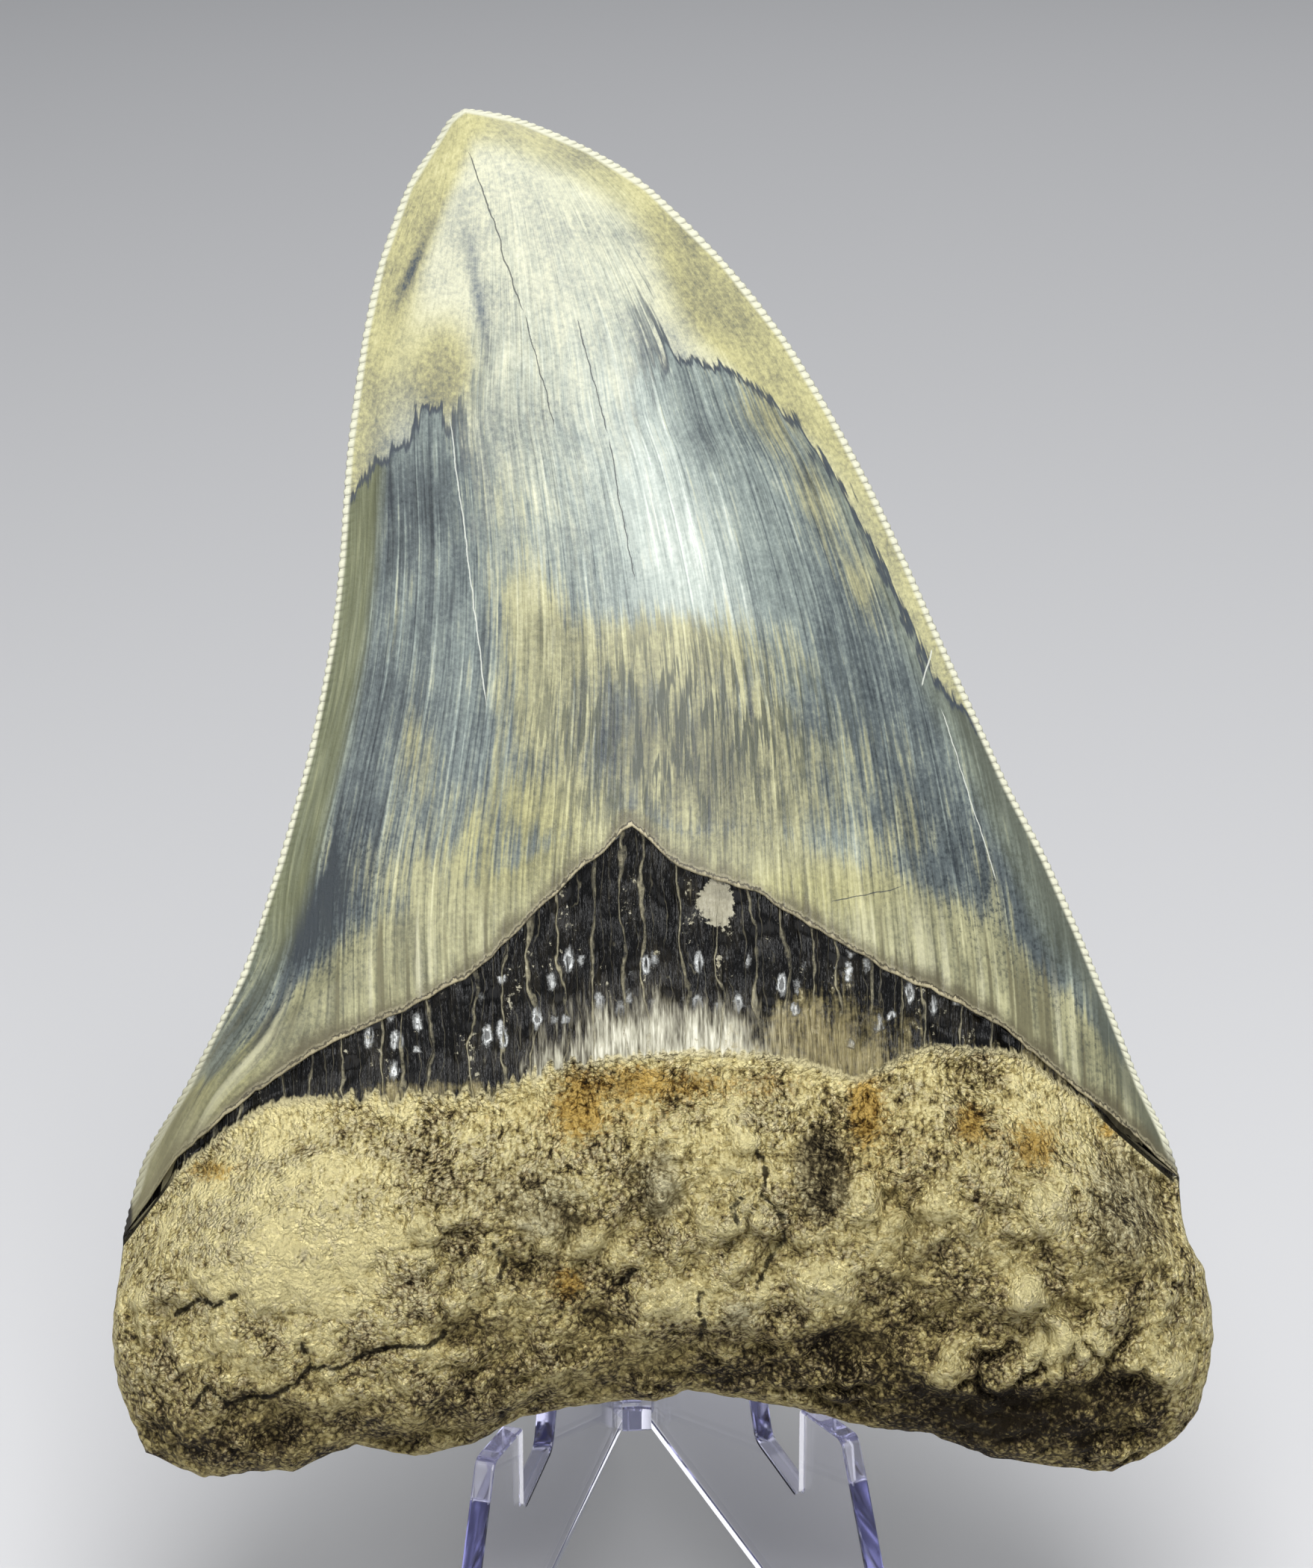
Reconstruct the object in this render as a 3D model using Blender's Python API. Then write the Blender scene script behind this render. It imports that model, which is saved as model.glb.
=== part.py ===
"""Megalodon tooth leaning in a clear moulded stand.

The tooth is one grown piece: a serrated enamel crown, the dark chevron of smooth dentine under
it, and a thick two-lobed root. It is lofted from a front and a back sheet that share one outline.
The stand is one moulding: two notched front fins and a rear leg on a narrow hub. The tooth's
root rests on the fins' prongs and its back leans on the fins' sloping edges.
Lengths below are millimetres; the scene is metres, +Z up, with the floor at z = 0.
"""
import math

import bmesh
import bpy
from mathutils import Matrix, Vector, noise

MM = 0.001

# Where the tooth stands: the middle of its height, and how far it leans back.
TOOTH_PLACE = Vector((-0.5, -6.8, 77.5))
TOOTH_LEAN = math.radians(18.0)

# The tooth's outline in its own flat frame: x across, y up, from the middle of its height.
TIP = (-16.2, 57.0)
LEFT_CROWN_EDGE = [
    TIP, (-17.5, 56.0), (-19.0, 53.6), (-21.0, 50.4), (-23.3, 44.1), (-24.7, 37.8),
    (-26.0, 28.4), (-26.7, 18.9), (-27.4, 12.6), (-29.2, 3.2), (-31.8, -6.3),
    (-34.9, -15.8), (-39.5, -25.2), (-43.1, -31.5), (-45.0, -38.2),
]
RIGHT_CROWN_EDGE = [
    TIP, (-11.6, 56.1), (-5.7, 53.6), (-0.7, 50.4), (5.7, 44.1), (10.7, 37.8), (14.6, 31.5),
    (18.0, 25.2), (21.0, 18.9), (23.8, 12.6), (26.7, 6.3), (29.6, 0.0), (32.9, -6.3),
    (35.7, -12.6), (38.3, -18.9), (40.8, -25.2), (42.9, -29.6), (44.1, -33.2),
]
LEFT_LOBE_SIDE = [(-45.0, -39.0), (-45.4, -43.5), (-45.5, -47.3), (-44.8, -51.0), (-42.8, -56.0)]
RIGHT_LOBE_SIDE = [(44.1, -34.0), (44.5, -37.8), (45.9, -41.0), (46.6, -46.6), (45.4, -52.4)]
ROOT_BOTTOM = [
    (-42.8, -56.0), (-40.3, -57.0), (-37.7, -58.1), (-34.0, -57.6), (-30.2, -57.5),
    (-27.4, -56.1), (-24.9, -55.3), (-20.1, -56.3), (-15.1, -55.1), (-11.3, -53.0),
    (-7.5, -52.2), (-2.5, -51.5), (0.1, -51.7), (2.6, -50.7), (7.6, -51.5), (12.7, -52.5),
    (17.7, -53.8), (22.7, -54.3), (27.8, -56.3), (32.8, -57.1), (37.9, -57.6), (41.0, -56.3),
    (43.4, -54.9), (45.4, -52.4),
]
# The enamel's lower edge and the root's upper edge on the front face, and both on the back.
ENAMEL_EDGE = [
    (-45.0, -38.2), (-40.4, -31.5), (-36.2, -27.7), (-32.4, -24.9), (-28.3, -22.1),
    (-22.9, -19.5), (-15.6, -15.9), (-10.9, -11.5), (-8.1, -8.6), (-1.9, -3.2), (1.4, -6.5),
    (8.6, -9.0), (12.6, -11.5), (15.8, -13.4), (19.5, -15.5), (23.4, -17.3), (28.4, -19.8),
    (34.1, -24.6), (39.1, -28.4), (44.1, -33.2),
]
ROOT_TOP = [
    (-45.0, -39.0), (-40.4, -33.0), (-36.2, -29.4), (-32.4, -27.0), (-28.3, -26.2),
    (-19.3, -26.0), (-14.6, -25.6), (-10.9, -24.6), (-8.1, -23.3), (-1.9, -22.6),
    (2.8, -22.2), (7.9, -22.4), (11.5, -22.9), (16.6, -24.6), (22.4, -21.9), (29.9, -22.6),
    (36.1, -27.0), (44.1, -34.0),
]
BACK_ENAMEL_EDGE = [
    (-45.0, -38.2), (-39.0, -33.0), (-30.0, -27.5), (-15.0, -22.5), (-1.0, -20.0), (14.0, -21.0),
    (29.0, -25.0), (38.5, -29.5), (44.1, -33.2),
]
BACK_ROOT_TOP = [
    (-45.0, -39.0), (-39.0, -34.3), (-30.0, -29.0), (-15.0, -24.2), (-1.0, -21.8), (14.0, -22.7),
    (29.0, -26.5), (38.5, -30.8), (44.1, -34.0),
]

# Depths in front of (+) and behind (-) the plane of the cutting edges.
CROWN_FRONT = 11.0
CROWN_BACK = 4.2
CROWN_FULL_WIDTH = 88.0
CROWN_TAPER = 0.72
EDGE_SHARPNESS = 1.06
CHEVRON_RECESS = 0.45
LEDGE_CLOSENESS = 1.6
ROOT_MIDDLE = 2.6
ROOT_FRONT = 13.0
ROOT_BACK = 7.9
ROOT_BACK_SKEW = 1.6
ROOT_SQUARENESS = 4.0
ROOT_SWELL_END = 0.34
ROOT_ROUND_START = 0.30
ROOT_ROUNDNESS = 2.4
LOBE_SIDE_TURN = 0.5
LOBE_SIDE_REACH = 3
ROW_ARCH = 1.4
ARCH_FULLNESS = 2.1
EDGE_ROWS_START = 0.75

# Lumps (+) and hollows (-) of the root's front: x, y, radius, height.
ROOT_LUMPS = [
    (0.6, -42.5, 3.4, 1.1), (6.0, -43.5, 2.8, 1.0), (13.2, -41.5, 3.6, 1.0), (22.7, -48.3, 3.6, 1.3),
    (30.2, -42.2, 3.0, 1.3), (34.3, -46.3, 3.6, 1.2), (42.0, -47.5, 3.2, 0.9), (-17.0, -35.0, 6.0, 0.8),
    (-33.0, -42.0, 7.0, 0.9), (5.5, -31.0, 5.0, 0.7), (-30.0, -52.0, 5.5, 0.8), (38.5, -37.0, 4.5, 0.7),
    (18.7, -45.6, 4.6, -1.6), (-11.2, -39.1, 2.2, -0.9), (-5.0, -43.0, 2.2, -0.9),
    (26.5, -45.0, 2.6, -0.9), (-40.0, -43.5, 2.6, -0.6),
]
LUMP_FALLOFF = 1.6
# The overhanging crease along the root's lower left, under which the surface steps back.
CREASE = [(-31.1, -51.0), (-24.0, -54.2), (-13.7, -53.7), (-8.9, -51.0), (-0.9, -48.7)]
CREASE_WIDTH = 1.6
CREASE_DEPTH = 1.1
ROUGHNESS_SCALE = 0.16
ROUGHNESS_HEIGHT = 0.75
BACK_RELIEF = 0.5
RELIEF_FADE_DOWN = 0.25
RELIEF_FADE_ACROSS = 0.08

# The sheets' columns and rows, and the serrations on each row's step of the crown's edges.
COLUMNS = 40
COLUMN_EASE = 0.55
CROWN_ROWS = 26
CHEVRON_ROWS = 3
ROOT_ROWS = 16
LEFT_SERRATIONS = 5
RIGHT_SERRATIONS = 6
SERRATION_HEIGHT = 0.26

# Stand: the hub's axis, the front fins' angles from straight forward, and the plate thickness.
HUB = Vector((-2.75, 3.55, 0.0))
LEFT_FIN_ANGLE = math.radians(-19.2)
RIGHT_FIN_ANGLE = math.radians(30.4)
REAR_LEG_ANGLE = math.radians(185.6)
PLATE = 1.8
HUB_FACE_WIDTH = 2.6
HUB_FACE_REACH = 5.0
HUB_RADIUS = 3.0
HUB_PROUD = 0.4
HUB_STEPS = 8
PLATE_START = 2.3
ARCH_HEIGHT = 15.0
ARCH_START = 4.0
ARCH_SLOPE = 0.32
STAND_TOP = 50.0
BACKREST_SLOPE = 0.30
BEND = (22.9, 21.3)
NOTCH = (29.7, 18.8)
PRONG_TOPS = (26.5, 27.1)
PRONG_FRONT = 36.4
FRONT_FOOT = (39.5, 47.0)
REAR_FOOT = (30.5, 38.0)
REAR_SHOULDER = 7.0
ARC_STEPS = 3

OBJECT_NAME = "megalodon_tooth"


def clear_scene():
    for old in list(bpy.data.objects):
        bpy.data.objects.remove(old, do_unlink=True)


def new_collection(name):
    collection = bpy.data.collections.new(name)
    bpy.context.scene.collection.children.link(collection)
    return collection


def new_material(name, colour, roughness, metallic=0.0, alpha=1.0, transmission=0.0):
    material = bpy.data.materials.new(name)
    material.use_nodes = True
    shader = material.node_tree.nodes["Principled BSDF"]
    shader.inputs["Base Color"].default_value = (*colour, 1.0)
    shader.inputs["Roughness"].default_value = roughness
    shader.inputs["Metallic"].default_value = metallic
    shader.inputs["Alpha"].default_value = alpha
    shader.inputs["Transmission Weight"].default_value = transmission
    return material


def smoothstep(value):
    value = min(max(value, 0.0), 1.0)
    return value * value * (3.0 - 2.0 * value)


def along(points, fraction):
    """The point at a fraction of the length of a smooth curve through the points."""
    knots = [Vector(p) for p in points]
    lengths = [0.0]
    for a, b in zip(knots, knots[1:]):
        lengths.append(lengths[-1] + (b - a).length)
    target = min(max(fraction, 0.0), 1.0) * lengths[-1]
    index = max(i for i in range(len(knots) - 1) if lengths[i] <= target)
    span = lengths[index + 1] - lengths[index]
    t = (target - lengths[index]) / span
    before = knots[max(index - 1, 0)]
    start, end = knots[index], knots[index + 1]
    after = knots[min(index + 2, len(knots) - 1)]
    leave = (end - before) * 0.5
    arrive = (after - start) * 0.5
    t2, t3 = t * t, t * t * t
    return (
        start * (2 * t3 - 3 * t2 + 1) + leave * (t3 - 2 * t2 + t)
        + end * (3 * t2 - 2 * t3) + arrive * (t3 - t2)
    )


def at_share(points, share):
    """The height of a left-to-right line at a share of its width, as a point."""
    first, last = points[0][0], points[-1][0]
    x = first + (last - first) * share
    for (x0, y0), (x1, y1) in zip(points, points[1:]):
        if x <= x1 or (x1, y1) == points[-1]:
            return Vector((x, y0 + (y1 - y0) * (x - x0) / (x1 - x0)))


def distance_to_line(point, points):
    best = 1e9
    for a, b in zip(points, points[1:]):
        a, b = Vector(a), Vector(b)
        run = b - a
        t = min(max((point - a).dot(run) / run.length_squared, 0.0), 1.0)
        best = min(best, (point - a - run * t).length)
    return best


def column_share(column):
    """Columns stand closer together towards the edges."""
    share = column / COLUMNS
    eased = 0.5 - 0.5 * math.cos(math.pi * share)
    return share + (eased - share) * COLUMN_EASE


def crown_depth(share, step, front):
    """The lens-shaped section of the crown, thinner towards the tip."""
    width = (along(RIGHT_CROWN_EDGE, step) - along(LEFT_CROWN_EDGE, step)).length
    size = (width / CROWN_FULL_WIDTH) ** CROWN_TAPER
    lens = max(1.0 - (2.0 * share - 1.0) ** 2, 0.0)
    return CROWN_FRONT * size * lens ** EDGE_SHARPNESS if front else -CROWN_BACK * size * lens


def root_depth(share, step, front):
    """The swelling root: level with the crown at its top, rounded over below and at the sides."""
    side = 2.0 * share - 1.0
    middle = ROOT_MIDDLE * smoothstep(step / LOBE_SIDE_TURN)
    round_side = math.sqrt(max(1.0 - abs(side) ** ROOT_SQUARENESS, 0.0))
    if front:
        full = ROOT_MIDDLE + ROOT_FRONT * round_side
    else:
        full = ROOT_MIDDLE - (ROOT_BACK + ROOT_BACK_SKEW * side) * round_side
    top = crown_depth(share, 1.0, front)
    depth = top + (full - top) * smoothstep(step / ROOT_SWELL_END)
    if abs(side) == 1.0:
        return middle
    over = max(step - ROOT_ROUND_START, 0.0) / (1.0 - ROOT_ROUND_START)
    return middle + (depth - middle) * math.sqrt(max(1.0 - over ** ROOT_ROUNDNESS, 0.0))


def root_relief(spot, depth):
    """Lumps, hollows, the overhanging crease and the rough grain of the root."""
    height = 0.0
    for x, y, radius, rise in ROOT_LUMPS:
        reach = (spot - Vector((x, y))).length / radius
        height += rise * math.exp(-LUMP_FALLOFF * reach * reach)
    gap = distance_to_line(spot, CREASE)
    height -= CREASE_DEPTH * math.exp(-((gap / CREASE_WIDTH) ** 2))
    seat = Vector((spot.x, spot.y, depth)) * ROUGHNESS_SCALE
    return height + ROUGHNESS_HEIGHT * noise.fractal(seat, 1.0, 2.0, 3)


def row_rise(enamel, share, step):
    """How far a row arches up in its middle: evenly near the tip, as the enamel's edge at its end."""
    chord = Vector(enamel[0]).lerp(Vector(enamel[-1]), share)
    peak = max(at_share(enamel, s / COLUMNS).y for s in range(COLUMNS + 1)) - chord.y
    even = peak * max(1.0 - (2.0 * share - 1.0) ** 2, 0.0) ** ARCH_FULLNESS
    exact = at_share(enamel, share).y - chord.y
    return even + (exact - even) * smoothstep((step - EDGE_ROWS_START) / (1.0 - EDGE_ROWS_START))


def tooth_point(column, row, front):
    """A point of the front or back sheet: across by column, and down by row from the tip."""
    share = column_share(column)
    enamel = ENAMEL_EDGE if front else BACK_ENAMEL_EDGE
    root_top = ROOT_TOP if front else BACK_ROOT_TOP
    edge = column in (0, COLUMNS)
    if row <= CROWN_ROWS:
        step = row / CROWN_ROWS
        left, right = along(LEFT_CROWN_EDGE, step), along(RIGHT_CROWN_EDGE, step)
        spot = left.lerp(right, share)
        spot.y += row_rise(enamel, share, step) * step ** ROW_ARCH
        return spot, 0.0 if edge or row == 0 else crown_depth(share, step, front)
    if row <= CROWN_ROWS + CHEVRON_ROWS:
        step = (row - CROWN_ROWS) / CHEVRON_ROWS
        spot = at_share(enamel, share).lerp(at_share(root_top, share), step ** LEDGE_CLOSENESS)
        depth = 0.0 if edge else crown_depth(share, 1.0, front)
        recess = CHEVRON_RECESS if front and not edge and step < 1.0 else 0.0
        return spot, depth - recess
    step = (row - CROWN_ROWS - CHEVRON_ROWS) / ROOT_ROWS
    top, bottom = at_share(root_top, share), at_share(ROOT_BOTTOM, share)
    spot = top.lerp(bottom, step)
    for side_line, weight in ((LEFT_LOBE_SIDE, 1.0 - share), (RIGHT_LOBE_SIDE, share)):
        straight = Vector(side_line[0]).lerp(Vector(side_line[-1]), step)
        spot += (along(side_line, step) - straight) * weight ** LOBE_SIDE_REACH
    depth = root_depth(share, step, front)
    if not edge and step < 1.0:
        fade = smoothstep(min(step, 1.0 - step) / RELIEF_FADE_DOWN)
        fade *= smoothstep(min(share, 1.0 - share) / RELIEF_FADE_ACROSS)
        depth += root_relief(spot, depth) * fade * (1.0 if front else -BACK_RELIEF)
    return spot, depth


def tooth_sheet(front):
    """One face of the tooth: a grid drawn into shape, with the crown's two edges serrated."""
    rows = CROWN_ROWS + CHEVRON_ROWS + ROOT_ROWS
    sheet = bmesh.new()
    made = bmesh.ops.create_grid(sheet, x_segments=COLUMNS, y_segments=rows, size=0.5)
    place = {}
    for vert in made["verts"]:
        column = round((vert.co.x + 0.5) * COLUMNS)
        row = round((0.5 - vert.co.y) * rows)
        spot, depth = tooth_point(column, row, front)
        vert.co = Vector((spot.x, -depth, spot.y)) * MM
        place[vert] = (column, row)
    serrate(sheet, place)
    return sheet


def serrate(sheet, place):
    """Splits each step of the crown's edges into points that stand in and out in turn."""
    for column, count, outward in ((0, LEFT_SERRATIONS, -1.0), (COLUMNS, RIGHT_SERRATIONS, 1.0)):
        line = sorted((v for v in place if place[v][0] == column), key=lambda v: place[v][1])
        margin = {face for vert in line[:CROWN_ROWS] for face in vert.link_faces}
        for upper, lower in zip(line[:CROWN_ROWS], line[1:]):
            run = (lower.co - upper.co).normalized()
            out = Vector((-run.z, 0.0, run.x)) * outward * SERRATION_HEIGHT * MM
            last = upper
            shifts = {}
            for half_step in range(1, 2 * count):
                edge = sheet.edges.get((last, lower))
                last = bmesh.utils.edge_split(edge, last, 1.0 / (2 * count + 1 - half_step))[1]
                shifts[last] = out * (0.5 if half_step % 2 else -0.5)
            for vert, shift in shifts.items():
                vert.co += shift
        bmesh.ops.poke(sheet, faces=list(margin))


def make_tooth(collection):
    body = bmesh.new()
    for front in (True, False):
        sheet = tooth_sheet(front)
        mesh = bpy.data.meshes.new("tooth_sheet")
        sheet.to_mesh(mesh)
        sheet.free()
        body.from_mesh(mesh)
        bpy.data.meshes.remove(mesh)
    bmesh.ops.remove_doubles(body, verts=body.verts, dist=1e-6)
    bmesh.ops.triangulate(body, faces=body.faces)
    bmesh.ops.recalc_face_normals(body, faces=body.faces)
    mesh = bpy.data.meshes.new("tooth")
    body.to_mesh(mesh)
    body.free()
    mesh.shade_smooth()
    mesh.materials.append(new_material("fossil_enamel_and_root", (0.46, 0.40, 0.28), 0.45))
    tooth = bpy.data.objects.new("tooth", mesh)
    collection.objects.link(tooth)
    tooth.location = TOOTH_PLACE * MM
    tooth.rotation_euler = (-TOOTH_LEAN, 0.0, 0.0)
    return tooth


def rounded(corners):
    """The outline through the corners (along, up, radius), each rounded by a short arc."""
    outline = []
    for index, (x, y, radius) in enumerate(corners):
        corner = Vector((x, y))
        if radius == 0.0:
            outline.append(corner)
            continue
        before = (Vector(corners[index - 1][:2]) - corner).normalized()
        after = (Vector(corners[(index + 1) % len(corners)][:2]) - corner).normalized()
        half = before.angle(after) / 2.0
        middle = corner + (before + after).normalized() * radius / math.sin(half)
        start = corner + before * radius / math.tan(half) - middle
        turn = start.angle_signed(corner + after * radius / math.tan(half) - middle)
        for step in range(ARC_STEPS + 1):
            bent = start.copy()
            bent.rotate(Matrix.Rotation(-turn * step / ARC_STEPS, 2))
            outline.append(middle + bent)
    return outline


def extruded(name, outline, thickness, matrix, collection):
    """A flat outline given thickness as a curve, then made a closed mesh."""
    curve = bpy.data.curves.new(name, "CURVE")
    curve.dimensions = "2D"
    curve.fill_mode = "BOTH"
    curve.extrude = thickness / 2.0 * MM
    spline = curve.splines.new("POLY")
    spline.points.add(len(outline) - 1)
    for point, spot in zip(spline.points, outline):
        point.co = (spot.x * MM, spot.y * MM, 0.0, 1.0)
    spline.use_cyclic_u = True
    drawn = bpy.data.objects.new(name + "_outline", curve)
    collection.objects.link(drawn)
    drawn.matrix_world = matrix
    bpy.context.view_layer.update()
    mesh = bpy.data.meshes.new_from_object(drawn.evaluated_get(bpy.context.evaluated_depsgraph_get()))
    solid = bpy.data.objects.new(name, mesh)
    collection.objects.link(solid)
    solid.matrix_world = matrix
    bpy.data.objects.remove(drawn, do_unlink=True)
    bpy.data.curves.remove(curve)
    welded = bmesh.new()
    welded.from_mesh(mesh)
    bmesh.ops.remove_doubles(welded, verts=welded.verts, dist=1e-5)
    bmesh.ops.recalc_face_normals(welded, faces=welded.faces)
    welded.to_mesh(mesh)
    welded.free()
    return solid


def plate(name, outline, angle, collection):
    """An upright plate standing out from the hub at an angle from straight forward."""
    turn = Matrix.Rotation(angle - math.pi / 2.0, 4, "Z") @ Matrix.Rotation(math.pi / 2.0, 4, "X")
    return extruded(name, outline, PLATE, Matrix.Translation(HUB * MM) @ turn, collection)


def hub_post(name, angle, collection):
    """The post that the plates grow from: round behind, with a narrow flat face in front."""
    half_face = HUB_FACE_WIDTH / 2.0
    outline = [Vector((HUB_FACE_REACH, -half_face)), Vector((HUB_FACE_REACH, half_face))]
    for step in range(HUB_STEPS + 1):
        turn = math.radians(60.0) + math.radians(240.0) * step / HUB_STEPS
        outline.append(Vector((math.cos(turn), math.sin(turn))) * HUB_RADIUS)
    height = STAND_TOP - ARCH_HEIGHT + 2.0 * HUB_PROUD
    middle = Vector((0.0, 0.0, (STAND_TOP + ARCH_HEIGHT) / 2.0))
    turn = Matrix.Rotation(angle - math.pi / 2.0, 4, "Z")
    return extruded(name, outline, height, Matrix.Translation((HUB + middle) * MM) @ turn, collection)


def front_fin_outline(prong_top):
    """Root in the hub, arch, foot, prong, V-notch and sloping backrest of a front fin."""
    top_reach = BEND[0] - BACKREST_SLOPE * (STAND_TOP - BEND[1])
    arch_end = FRONT_FOOT[0] - 2.0
    return rounded([
        (PLATE_START, ARCH_HEIGHT, 0.0),
        (ARCH_START, ARCH_HEIGHT, 0.0),
        (arch_end, ARCH_HEIGHT - ARCH_SLOPE * (arch_end - ARCH_START), 2.0),
        (FRONT_FOOT[0], 0.0, 0.4),
        (FRONT_FOOT[1], 0.0, 0.8),
        (PRONG_FRONT, prong_top, 1.2),
        (NOTCH[0], prong_top, 0.4),
        (NOTCH[0], NOTCH[1], 0.5),
        (BEND[0], BEND[1], 1.5),
        (top_reach, STAND_TOP, 3.0),
        (PLATE_START, STAND_TOP, 0.0),
    ])


def rear_leg_outline():
    """Root in the hub, arch, foot and sloping back edge of the rear leg."""
    arch_end = REAR_FOOT[0] - 2.0
    return rounded([
        (PLATE_START, ARCH_HEIGHT, 0.0),
        (ARCH_START, ARCH_HEIGHT, 0.0),
        (arch_end, ARCH_HEIGHT - ARCH_SLOPE * (arch_end - ARCH_START), 2.0),
        (REAR_FOOT[0], 0.0, 0.4),
        (REAR_FOOT[1], 0.0, 0.8),
        (REAR_SHOULDER, STAND_TOP, 3.0),
        (PLATE_START, STAND_TOP, 0.0),
    ])


def make_stand(collection, cutters):
    """Two front fins, a rear leg and the hub post, moulded as one."""
    facing = (LEFT_FIN_ANGLE + RIGHT_FIN_ANGLE) / 2.0
    stand = hub_post("stand", facing, collection)
    joined = (
        plate("left_fin", front_fin_outline(PRONG_TOPS[0]), LEFT_FIN_ANGLE, cutters),
        plate("right_fin", front_fin_outline(PRONG_TOPS[1]), RIGHT_FIN_ANGLE, cutters),
        plate("rear_leg", rear_leg_outline(), REAR_LEG_ANGLE, cutters),
    )
    for part in joined:
        part.hide_render = True
        part.display_type = "WIRE"
        union = stand.modifiers.new(part.name, "BOOLEAN")
        union.operation = "UNION"
        union.object = part
    colour = (0.93, 0.93, 0.97)
    clear = new_material("clear_plastic", colour, 0.06, alpha=0.35, transmission=1.0)
    stand.data.materials.append(clear)
    return stand


def main():
    clear_scene()
    collection = new_collection(OBJECT_NAME)
    cutters = new_collection("joined_parts")
    make_tooth(collection)
    make_stand(collection, cutters)


main()
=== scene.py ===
"""A megalodon tooth leaning in a clear moulded stand.

The enamel crown, its serrated cutting edges and the root with the dark band of dentine under
the crown are one grown tooth; the stand is one clear moulding that holds it by the root.
Lengths are millimetres in names and lists; the scene itself is metres, with the floor at z = 0.
"""
import math

import bmesh
import bpy
from mathutils import Matrix, Vector, noise


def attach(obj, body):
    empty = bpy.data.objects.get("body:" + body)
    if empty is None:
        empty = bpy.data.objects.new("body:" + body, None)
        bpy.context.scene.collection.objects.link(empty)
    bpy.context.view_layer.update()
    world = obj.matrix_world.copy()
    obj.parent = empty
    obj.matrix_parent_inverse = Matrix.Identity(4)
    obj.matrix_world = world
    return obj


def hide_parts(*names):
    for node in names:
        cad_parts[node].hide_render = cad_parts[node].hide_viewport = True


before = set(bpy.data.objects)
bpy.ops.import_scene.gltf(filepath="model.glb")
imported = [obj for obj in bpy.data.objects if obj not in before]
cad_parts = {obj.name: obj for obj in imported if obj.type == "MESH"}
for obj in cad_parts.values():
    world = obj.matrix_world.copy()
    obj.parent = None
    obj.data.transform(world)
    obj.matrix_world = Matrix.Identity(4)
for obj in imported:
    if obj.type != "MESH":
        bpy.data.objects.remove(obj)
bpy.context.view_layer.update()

# The camera looks square at the tooth's face, which leans back by 18 degrees, from hand height
# a little above it. The tooth's own flat frame is x across, y back through it, z up its face.
MM = 0.001
TOOTH_PLACE = Vector((-0.5, -6.8, 77.5))
TOOTH_LEAN = math.radians(18)
CAMERA_DISTANCE = 380
CAMERA_LENS = 103.4
CAMERA_SENSOR = 36


def linked(name, data):
    """An object put into the scene."""
    made = bpy.data.objects.new(name, data)
    bpy.context.scene.collection.objects.link(made)
    return made


tooth_matrix = Matrix.Translation(TOOTH_PLACE * MM) @ Matrix.Rotation(-TOOTH_LEAN, 4, "X")
camera_data = bpy.data.cameras.new("camera")
camera_data.lens = CAMERA_LENS
camera_data.sensor_width = CAMERA_SENSOR
camera = linked("camera", camera_data)
camera.matrix_world = (
    tooth_matrix @ Matrix.Translation((0, -CAMERA_DISTANCE * MM, 0))
    @ Matrix.Rotation(math.radians(90), 4, "X")
)
bpy.context.scene.camera = camera
bpy.context.scene.view_settings.view_transform = "Standard"
# Light crosses the clear stand many times before it leaves.
bpy.context.scene.cycles.max_bounces = 24
bpy.context.scene.cycles.glossy_bounces = 20
bpy.context.scene.cycles.transmission_bounces = 20


# Enamel crown: the smooth, glossy blade of the tooth, a closed shell lofted from a front and a
# back sheet. Its lower edge is a thin lip that stands proud of the dentine. The enamel is cream
# at the tip and margins and blue-grey in the body, with fine streaks fanning down from the tip.
TIP = (-16.2, 57)
LEFT_CROWN_EDGE = [
    TIP, (-17.5, 56), (-19, 53.6), (-21, 50.4), (-23.3, 44.1), (-24.7, 37.8), (-26, 28.4),
    (-26.7, 18.9), (-27.4, 12.6), (-29.2, 3.2), (-31.8, -6.3), (-34.9, -15.8), (-39.5, -25.2),
    (-43.1, -31.5), (-45, -38.2),
]
RIGHT_CROWN_EDGE = [
    TIP, (-11.6, 56.1), (-5.7, 53.6), (-0.7, 50.4), (5.7, 44.1), (10.7, 37.8), (14.6, 31.5),
    (18, 25.2), (21, 18.9), (23.8, 12.6), (26.7, 6.3), (29.6, 0), (32.9, -6.3), (35.7, -12.6),
    (38.3, -18.9), (40.8, -25.2), (42.9, -29.6), (44.1, -33.2),
]
ENAMEL_EDGE = [
    (-45, -38.2), (-40.4, -31.5), (-36.2, -27.7), (-32.4, -24.9), (-28.3, -22.1), (-22.9, -19.5),
    (-15.6, -15.9), (-10.9, -11.5), (-8.1, -8.6), (-1.9, -3.2), (1.4, -6.5), (8.6, -9),
    (12.6, -11.5), (15.8, -13.4), (19.5, -15.5), (23.4, -17.3), (28.4, -19.8), (34.1, -24.6),
    (39.1, -28.4), (44.1, -33.2),
]
BACK_ENAMEL_EDGE = [
    (-45, -38.2), (-39, -33), (-30, -27.5), (-15, -22.5), (-1, -20), (14, -21), (29, -25),
    (38.5, -29.5), (44.1, -33.2),
]
ENAMEL_EDGES = {True: ENAMEL_EDGE, False: BACK_ENAMEL_EDGE}
CROWN_FRONT = 11
CROWN_BACK = 4.2
CROWN_FULL_WIDTH = 88
CROWN_TAPER = 0.72
EDGE_SHARPNESS = 1.06
ROW_ARCH = 1.4
ARCH_FULLNESS = 2.1
ARCH_STEPS = 40
EDGE_ROWS_START = 0.75
COLUMN_EASE = 0.55
CROWN_COLUMNS = 150
CROWN_ROWS = 200
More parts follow.
